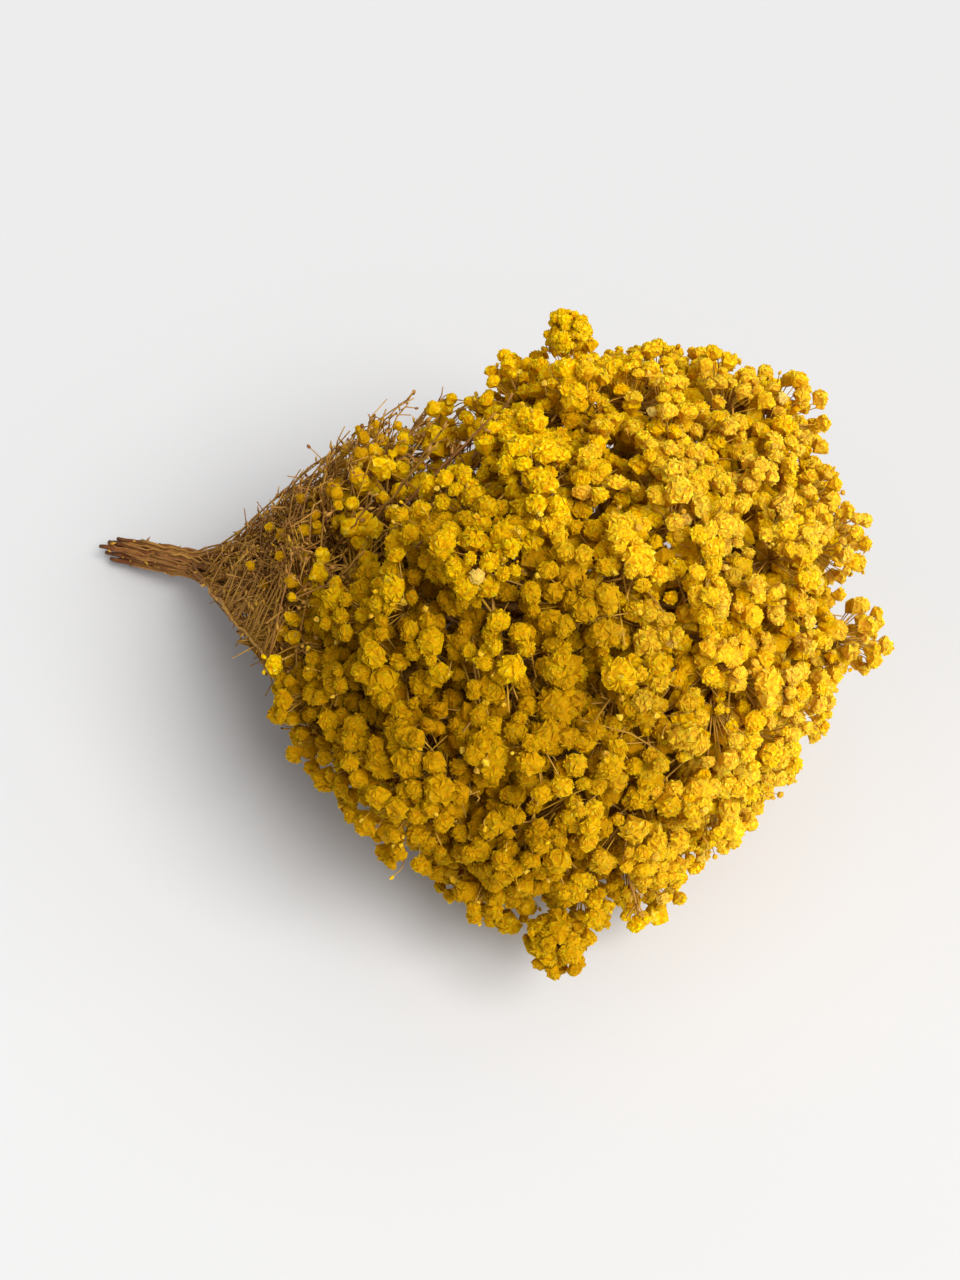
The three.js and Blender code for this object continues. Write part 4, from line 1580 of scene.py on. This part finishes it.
    def _twigs(self, head: FlowerHead, spots: Spots, clump: Array, low: Array) -> None:
        """Lays the forked twigs from the seat of a head to its blooms.

        Args:
            head: The head.
            spots: Its blooms.
            clump: The clump of each.
            low: The centres of its lower blooms.
        """
        crotches = []
        for number in np.unique(clump):
            own = spots.only(clump == number)
            top, out = own.middles.mean(axis=0), unit(own.ways.mean(axis=0))
            to_seat = head.seat - top
            back = min(self.crotch_back, self.crotch_back_share * float(np.linalg.norm(to_seat)))
            crotch = top - out * self.crotch_depth + unit(to_seat) * back
            keep_above(self.crotch_lowest, crotch)
            crotches.append(crotch)
            ends = own.middles - own.ways * (own.sizes * self.stalk_seat)[:, None]
            feet = np.repeat(crotch[None], len(ends), axis=0)
            knees = feet + (ends - feet) * self.stalk_knee + out * self.stalk_bulge
            self._lay(head, feet, ends, self.stalk_sway, self.stalk_radius, 2, knees)
        if not crotches:
            return
        ends = np.array(crotches)
        feet = np.repeat(head.seat[None], len(ends), axis=0)
        self._lay(head, feet, ends, self.bough_sway, self.bough_radius, 5)
        if len(low):
            nearest = np.linalg.norm(low[:, None] - ends[None], axis=2).argmin(axis=1)
            self._lay(head, ends[nearest], low, 0.0, self.low_stalk_radius, 2)

    def _mat(self, head: FlowerHead, outside: Skin, number: int) -> None:
        """Lays the crossing hair-thin twigs under the blooms of one head.

        Args:
            head: The head.
            outside: The scattered points of the outside.
            number: The head's number.
        """
        chance, count = self.chance, self.mat_twigs
        own = outside.only(np.flatnonzero(outside.owners == number))
        if head.is_tuft or len(own.points) < 2:
            return
        one, two = (chance.choice(len(own.points), count) for _ in range(2))
        feet = own.points[one] - own.outs[one] * chance.uniform(*self.mat_depth, (count, 1))
        ends = own.points[two] - own.outs[two] * chance.uniform(*self.mat_depth, (count, 1))
        way = ends - feet
        length = np.linalg.norm(way, axis=1, keepdims=True)
        ends = feet + way * np.minimum(1, self.mat_reach / np.maximum(length, 1e-6))
        knees = (feet + ends) / 2 + chance.normal(0, self.mat_sway, feet.shape)
        keep_above(self.mat_lowest, feet, knees, ends)
        self._lay(head, feet, ends, 0.0, self.mat_radius, 3, knees)

    def _lay(
        self,
        head: FlowerHead,
        feet: Array,
        ends: Array,
        sway: float,
        radius: Span,
        stations: int,
        knees: Array | None = None,
    ) -> None:
        """Lays thin twigs with a woody look.

        Args:
            head: The head that they belong to.
            feet: Their first points.
            ends: Their last points.
            sway: How much they bend at random.
            radius: The radius at the foot and at the end.
            stations: Points along each.
            knees: The points that pull their curves, if not the middles.
        """
        chance, count = self.chance, len(feet)
        if knees is None:
            knees = (feet + ends) / 2
        if sway:
            knees = knees + chance.normal(0, sway, ends.shape)
        looks = [chance.uniform(*look, count) for look in self.twig_looks]
        radii = np.tile(np.linspace(*radius, stations), (count, 1))
        marks = np.column_stack([*looks, np.zeros(count)])
        head.heap.add_tubes(bent_paths(feet, knees, ends, stations), radii, 3, marks)

    def _sprigs(self, head: FlowerHead, spots: Spots) -> None:
        """Sets fine sprigs with buds between the blooms.

        Args:
            head: The head.
            spots: Its blooms.
        """
        chance = self.chance
        count = int(len(spots.sizes) * self.sprigs_per_bloom[head.is_tuft])
        if count == 0:
            return
        beside = spots.only(chance.choice(len(spots.sizes), count))
        side = unit(np.cross(beside.ways, chance.normal(size=(count, 3))))
        feet = beside.middles + side * beside.sizes[:, None] * self.sprig_side
        feet = feet - beside.ways * self.sprig_depth
        ends = feet + beside.ways * chance.uniform(*self.sprig_length, (count, 1))
        ends = ends + side * chance.uniform(*self.sprig_spread, (count, 1))
        for lowest, points in zip(self.sprig_lowest, (feet, ends)):
            keep_above(lowest, points)
        self._lay(head, feet, ends, self.sprig_sway, self.sprig_radius, 3)
        looks = [chance.uniform(*look, count) for look in self.sprig_looks]
        is_open = chance.uniform(0, 1, count) < self.sprig_open
        husks, buds = chance.uniform(*self.husk_radius, count), chance.uniform(*self.bud_radius, count)
        sizes = np.where(is_open, husks, buds)
        tips = Spots(ends, beside.ways, sizes, np.column_stack(looks))
        self.kinds.husk.scatter(head.heap, tips.only(is_open), chance)
        self.kinds.bud.scatter(head.heap, tips.only(~is_open), chance)


@dataclass
class Thicket:
    """The tangle of hair-thin twigs that fills the spread of the stems."""

    stems: list[Stem]
    neck: Array
    crown: Crown
    kinds: Kinds
    chance: Chance
    # how many twigs of each kind, and how far apart their feet may be
    twigs: int = 850
    fillers: int = 1150
    arches: int = 44
    anchor_step: float = 3.0
    # the cone that they fill, from the neck to the crown
    starts_after: float = 10.0
    cone_length: float = 118.0
    share_in_cone: float = 0.92
    shortest: float = 5.0
    longest: float = 42.0
    slope: float = 0.72
    slope_from: float = 8.0
    inward: float = 0.75
    outside_crown: float = 0.94
    # twigs between the stems: where they head for, their length and their bend
    goal_share: Span = (0.1, 0.9)
    length_share: Span = (0.5, 1.0)
    knee_share: float = 0.45
    knee_sway: float = 1.2
    # twigs that end at places all over the cone: how far back they start
    filler_behind: Span = (6.0, 45.0)
    filler_feet: int = 40
    filler_sway: float = 1.5
    # long arching twigs, which follow the upper side of the cone
    arch_feet: Span = (14.0, 50.0)
    arch_end: Span = (80.0, 116.0)
    arch_stations: int = 9
    arch_forks: float = 0.55
    arch_spread: float = 0.55
    arch_reach: Span = (0.8, 1.02)
    arch_bulge: Span = (0.9, 1.25)
    upper_way: Place = (-0.2, 0.79, 0.58)
    # every twig, with its forks
    root_radius: float = 0.46
    tip_radius: float = 0.27
    forks: int = 2
    fork_length: Span = (5.0, 15.0)
    fork_share: Span = (0.35, 0.95)
    fork_spread: float = 0.34
    fork_bend: float = 0.4
    fork_taper: Span = (0.06, -0.04)
    olive: Span = (0.4, 0.8)
    twig_dark: Span = (0, 0.4)
    # the leaves, and the blooms and buds at the ends, the blooms with painted shade
    leaf_share: float = 0.7
    leaf_length: Span = (1.8, 4.6)
    leaf_spread: float = 0.6
    most_leaves: int = 4
    bloom_share: float = 0.14
    bloom_size: Span = (1.5, 2.8)
    bloom_tone: Span = (0.2, 0.8)
    bloom_shade: Span = (0.6, 1.0)
    edge_share: float = 0.35
    edge_above: float = 85.0
    bud_share: float = 0.3
    bud_size: float = 0.3
    lowest: float = 0.8
    strays: tuple[tuple[Place, Place], ...] = (
        ((-20, -42, 15), (-43, -47, 8)),
        ((-96, 6, 24), (-90, 14, 36)),
    )

    def __post_init__(self) -> None:
        """Gathers the points that twigs can grow from, with the stem and its way at each."""
        points, along, owner = [], [], []
        for number, stem in enumerate(self.stems):
            for branch in stem.skeleton.branches:
                line, _ = branch.resampled(self.anchor_step)
                if len(line) >= 3:
                    points.append(line)
                    along.append(unit(np.gradient(line, axis=0)))
                    owner.append(np.full(len(line), number))
        self.points, self.along, self.owner = map(np.concatenate, (points, along, owner))
        self.axis = unit(self.crown.middle - self.neck)
        self.far = (self.points - self.neck) @ self.axis

    def grow(self) -> None:
        """Grows twigs from points of the stems towards places between the stems."""
        self._grow_between()
        self._fill()
        self._bend_arches()
        for start, end in np.array(self.strays, float):
            knee = (start + end) / 2 + self.chance.normal(0, 1.0, 3)
            self._twig(self.stems[0].heap, start, knee, end)

    def _grow_between(self) -> None:
        """Grows twigs from one stem towards places between others further along."""
        chance, points = self.chance, self.points
        after = np.linalg.norm(points - self.neck, axis=1)
        usable = np.flatnonzero((after > self.starts_after) & (points[:, 0] > self.neck[0]))
        order = usable[np.argsort(after[usable], kind="stable")]
        cone_end = int(np.searchsorted(after[order], self.cone_length))
        for _ in range(self.twigs):
            in_cone = chance.uniform() < self.share_in_cone
            rank = int(chance.integers(0, cone_end if in_cone else len(order)))
            ahead = order[rank + 1 : rank + 1 + max(8, len(order) // 5)]
            if len(ahead) < 2:
                continue
            first = order[rank]
            one, two = chance.choice(ahead, 2)
            goal = points[one] + (points[two] - points[one]) * chance.uniform(*self.goal_share)
            way = goal - points[first]
            longest = self.longest * chance.uniform(*self.length_share)
            length = min(float(np.linalg.norm(way)), longest)
            if length < self.shortest:
                continue
            end = points[first] + unit(way) * length
            keep_above(self.lowest, end)
            knee = points[first] + self.along[first] * length * self.knee_share
            knee = knee + chance.normal(0, self.knee_sway, 3)
            self._twig(self.stems[self.owner[first]].heap, points[first], knee, end)

    def _fill(self) -> None:
        """Grows twigs that end at places spread over the whole of the cone."""
        chance, points = self.chance, self.points
        nearest, furthest = self.filler_behind
        for _ in range(self.fillers):
            end = self._place()
            behind = float((end - self.neck) @ self.axis) - self.far
            feet = np.flatnonzero((behind > nearest) & (behind < furthest))
            if len(feet) == 0:
                continue
            feet = chance.choice(feet, min(len(feet), self.filler_feet), replace=False)
            first = feet[int(np.argmin(np.linalg.norm(points[feet] - end, axis=1)))]
            knee = self._knee(points[first], end) + chance.normal(0, self.filler_sway, 3)
            self._twig(self.stems[self.owner[first]].heap, points[first], knee, end)

    def _knee(self, start: Array, end: Array) -> Array:
        """Finds the point that lets a twig come up to the outside of the cone and run along it.

        Args:
            start: The twig's foot.
            end: Its tip.

        Returns:
            The point that pulls its curve.
        """
        first, last = float((start - self.neck) @ self.axis), float((end - self.neck) @ self.axis)
        half = (first + last) / 2
        out = end - self.neck - self.axis * last
        share = (half - self.slope_from) / max(last - self.slope_from, 1.0)
        return self.neck + self.axis * half + out * np.clip(share, 0, 1)

    def _place(self) -> Array:
        """Picks a place in the cone, clear of the crown and more often near the outside.

        Returns:
            The place.
        """
        chance = self.chance
        length = self.cone_length - self.starts_after
        while True:
            along = self.starts_after + length * np.sqrt(chance.uniform())
            out = unit(np.cross(self.axis, chance.normal(size=3)))
            reach = self.slope * max(2.0, along - self.slope_from)
            reach = reach * (1 - self.inward * chance.uniform() ** 2)
            place = self.neck + self.axis * along + out * reach
            if place[2] > self.lowest and self.crown.depth(place) > self.outside_crown:
                return place

    def _bend_arches(self) -> None:
        """Bends long twigs along the upper side of the cone."""
        chance = self.chance
        nearest, furthest = self.arch_feet
        feet = np.flatnonzero((self.far > nearest) & (self.far < furthest))
        for _ in range(self.arches):
            first = int(chance.choice(feet))
            out = unit(np.array(self.upper_way) + chance.normal(0, self.arch_spread, 3))
            out = unit(out - self.axis * (out @ self.axis))
            along = chance.uniform(*self.arch_end)
            half = (along + self.far[first]) / 2
            slant = out * self.slope
            end, knee = (
                self.neck + self.axis * at + slant * (at - self.slope_from) * chance.uniform(*wide)
                for at, wide in ((along, self.arch_reach), (half, self.arch_bulge))
            )
            keep_above(self.lowest, knee, end)
            heap = self.stems[self.owner[first]].heap
            self._twig(heap, self.points[first], knee, end, self.arch_stations)

    def _twig(self, heap: Heap, start: Array, knee: Array, end: Array, stations: int = 4) -> None:
        """Lays one twig with its forks, leaves and what its ends carry.

        Args:
            heap: Where it goes.
            start: Its foot.
            knee: The point that pulls its curve.
            end: Its tip.
            stations: Points along it.
        """
        chance = self.chance
        is_arch = stations == self.arch_stations
        path = bent_paths(start[None], knee[None], end[None], stations)
        radii = np.linspace(self.root_radius, self.tip_radius, stations)[None]
        nearness = float(self.crown.nearness(end[None])[0])
        anywhere, near_crown = self.olive
        olive = chance.uniform(0, anywhere) + chance.uniform(0, near_crown) * nearness
        marks = np.array([[chance.uniform(0, 1), olive, chance.uniform(*self.twig_dark), 0.0]])
        heap.add_tubes(path, radii, 3, marks)
        count = int(chance.integers(1, self.forks + stations // 4))
        feet = on_curve(chance.uniform(*self.fork_share, count)[:, None], start, knee, end)
        heading = unit(unit(end - knee) + chance.normal(0, self.fork_spread, (count, 3)))
        reach = chance.uniform(*self.fork_length, count)[:, None]
        reach = reach * (self.arch_forks if is_arch else 1.0)
        tips = feet + heading * reach
        keep_above(self.lowest, tips)
        bend = feet + unit(end - start) * reach * self.fork_bend
        foot, tip = (self.tip_radius + change for change in self.fork_taper)
        fork_radii = np.tile(np.linspace(foot, tip, 3), (count, 1))
        heap.add_tubes(bent_paths(feet, bend, tips, 3), fork_radii, 3, np.repeat(marks, count, axis=0))
        ways = np.concatenate([heading, unit(end - knee)[None]])
        self._crown_ends(heap, np.concatenate([tips, end[None]]), ways, is_arch)
        leaves = int(chance.binomial(self.most_leaves, self.leaf_share))
        feet = on_curve(chance.uniform(0.1, 0.9, leaves)[:, None], start, knee, end)
        ways = unit(unit(end - start) + chance.normal(0, self.leaf_spread, (leaves, 3)))
        looks = [chance.uniform(0.2, 1, (leaves, 2)), chance.uniform(0, 0.4, leaves), np.zeros(leaves)]
        length = chance.uniform(*self.leaf_length, leaves)
        Bract().scatter(heap, feet, ways, length, np.column_stack(looks), chance)

    def _crown_ends(self, heap: Heap, ends: Array, ways: Array, is_arch: bool) -> None:
        """Sets small blooms and buds on some ends of a twig, more of them near the crown. The blooms
        get painted shade, less of it at the crown's upper edge.

        Args:
            heap: Where they go.
            ends: The ends.
            ways: The way each end points.
            is_arch: Whether it is one of the long twigs, which are bare except by the crown.
        """
        chance, count = self.chance, len(ends)
        near = self.crown.nearness(ends)
        fate = chance.uniform(0, 1, count)
        edge = np.clip(near * 4 - 3, 0, 1) * (ends[:, 2] > self.edge_above)
        has_bloom = fate < self.bloom_share * near * (not is_arch) + self.edge_share * edge
        tone = chance.uniform(*self.bloom_tone, count)
        # painted shade on the blooms, less at the crown's upper edge
        depth = chance.uniform(*self.bloom_shade, count) * (1 - edge * 0.6)
        size = chance.uniform(*self.bloom_size, count) * (1 + edge * 0.4)
        looks = np.column_stack([tone, depth, np.zeros(count)])
        centres = ends.copy()
        keep_above(size, centres)
        self.kinds.small.scatter(heap, Spots(centres, ways, size, looks).only(has_bloom), chance)
        is_bud = ~has_bloom & (fate > 1 - self.bud_share)
        buds = Spots(ends, ways, size * self.bud_size, looks).only(is_bud)
        self.kinds.bud.scatter(heap, buds, chance, Stuff.TWIG)


@dataclass
class Studio:
    """The pale table, the soft lights and the camera."""

    eye: Place = (177.188, -323.915, 541.394)
    aim: Place = (22.587, -6.937, 55.984)
    lens: float = 46.23
    sensor: float = 36.0
    clip: Span = (0.01, 20.0)
    table_side: float = 6000.0
    sky: Colour = srgb(244, 244, 246)
    sky_strength: float = 0.585
    sky_lean: float = 0.62
    sky_way: Place = (0.95, 0.05, 0.1)
    sun_way: Place = (0.74, -0.2, 1.0)
    sun_softness: float = 37.0
    sun_strength: float = 3.42
    sun_colour: Place = (1.0, 0.993, 0.98)

    def build(self) -> None:
        """Makes everything round the bunch."""
        self._table()
        self._sky()
        self._sun()
        self._camera()

    def _table(self) -> None:
        """Makes the table top."""
        half = self.table_side / 2 * METRES
        mesh = bpy.data.meshes.new("table")
        corners = [(-half, -half, 0), (half, -half, 0), (half, half, 0), (-half, half, 0)]
        mesh.from_pydata(corners, [], [(0, 1, 2, 3)])
        mesh.materials.append(TableFinish().material())
        table = bpy.data.objects.new("table", mesh)
        bpy.context.scene.collection.objects.link(table)

    def _sky(self) -> None:
        """Lights everything from all round, more from the right than from the left."""
        world = bpy.data.worlds.new("soft_room")
        world.use_nodes = True
        recipe = Recipe(world.node_tree)
        side = recipe.along(recipe.wire("ShaderNodeTexCoord", "Generated", {}, {}), self.sky_way)
        strength = (side * self.sky_lean + 1.0) * self.sky_strength
        sockets = {"Color": self.sky, "Strength": strength}
        glow = recipe.wire("ShaderNodeBackground", "Background", {}, sockets)
        recipe.node("ShaderNodeOutputWorld", {}, {"Surface": glow})
        bpy.context.scene.world = world

    def _sun(self) -> None:
        """Hangs the large soft light above the right of the bunch."""
        lamp = bpy.data.lights.new("soft_window", "SUN")
        lamp.angle = float(np.radians(self.sun_softness))
        lamp.energy = self.sun_strength
        lamp.color = self.sun_colour
        holder = bpy.data.objects.new("soft_window", lamp)
        holder.location = Vector(self.sun_way)
        holder.rotation_euler = Vector(self.sun_way).to_track_quat("Z", "Y").to_euler()
        bpy.context.scene.collection.objects.link(holder)

    def _camera(self) -> None:
        """Sets the camera at the photograph's viewing angle."""
        data = bpy.data.cameras.new("camera")
        data.sensor_fit = "VERTICAL"
        data.sensor_height = self.sensor
        data.lens = self.lens
        data.clip_start, data.clip_end = self.clip
        camera = bpy.data.objects.new("camera", data)
        eye, aim = Vector(self.eye) * METRES, Vector(self.aim) * METRES
        camera.location = eye
        camera.rotation_euler = (eye - aim).to_track_quat("Z", "Y").to_euler()
        bpy.context.scene.collection.objects.link(camera)
        bpy.context.scene.camera = camera


@dataclass
class Bunch:
    """The whole bunch: its stems, the tangle between them and the crown."""

    seed: int = 7
    neck: Place = (-114.5, 1.3, 17.5)
    floor: float = 0.05

    def build(self, nodes: dict[str, bpy.types.Object]) -> None:
        """Builds every piece and hands it to the frame.

        Args:
            nodes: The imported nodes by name.
        """
        kinds = Kinds(np.random.default_rng(self.seed))
        stems = []
        for number, name in enumerate(sorted(n for n in nodes if n.startswith("stem_"))):
            skeleton = StemSkeleton(*packed_mesh(nodes[name]))
            stem = Stem(name, skeleton, np.random.default_rng([self.seed, 1, number]))
            stem.build()
            stems.append(stem)
        tips = np.array([branch.points[-1] for stem in stems for branch in stem.skeleton.branches])
        crown = Crown(kinds, np.random.default_rng([self.seed, 2]))
        crown.take_heads(nodes, tips)
        crown.grow()
        Thicket(stems, np.array(self.neck), crown, kinds, np.random.default_rng([self.seed, 3])).grow()

        materials = [PetalFinish().material(), TwigFinish().material()]
        for stem in stems:
            self._hand_over(stem, "dry_stem_", materials)
        for head in crown.heads:
            self._hand_over(head, "bloom_head_", materials)

    def _hand_over(
        self, part: Stem | FlowerHead, name: str, materials: list[bpy.types.Material]
    ) -> None:
        """Makes one piece, lets it ride on the body and stand for its node.

        Args:
            part: The stem or head.
            name: The piece's name up to its number.
            materials: Petals and twigs.
        """
        piece = part.heap.piece(name + part.name.split("_")[-1], materials, self.floor)
        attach(piece, BODY)
        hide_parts(part.name)
        log.info("%s stands for %s with %d triangles", piece.name, part.name, part.heap.triangles())


def main() -> None:
    """Builds the studio and the bunch."""
    logging.basicConfig(level=logging.INFO, format="%(message)s")
    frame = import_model()
    bpy.context.scene.view_settings.view_transform = "Standard"
    Studio().build()
    Bunch().build(frame["nodes"])


if __name__ == "__main__":
    main()
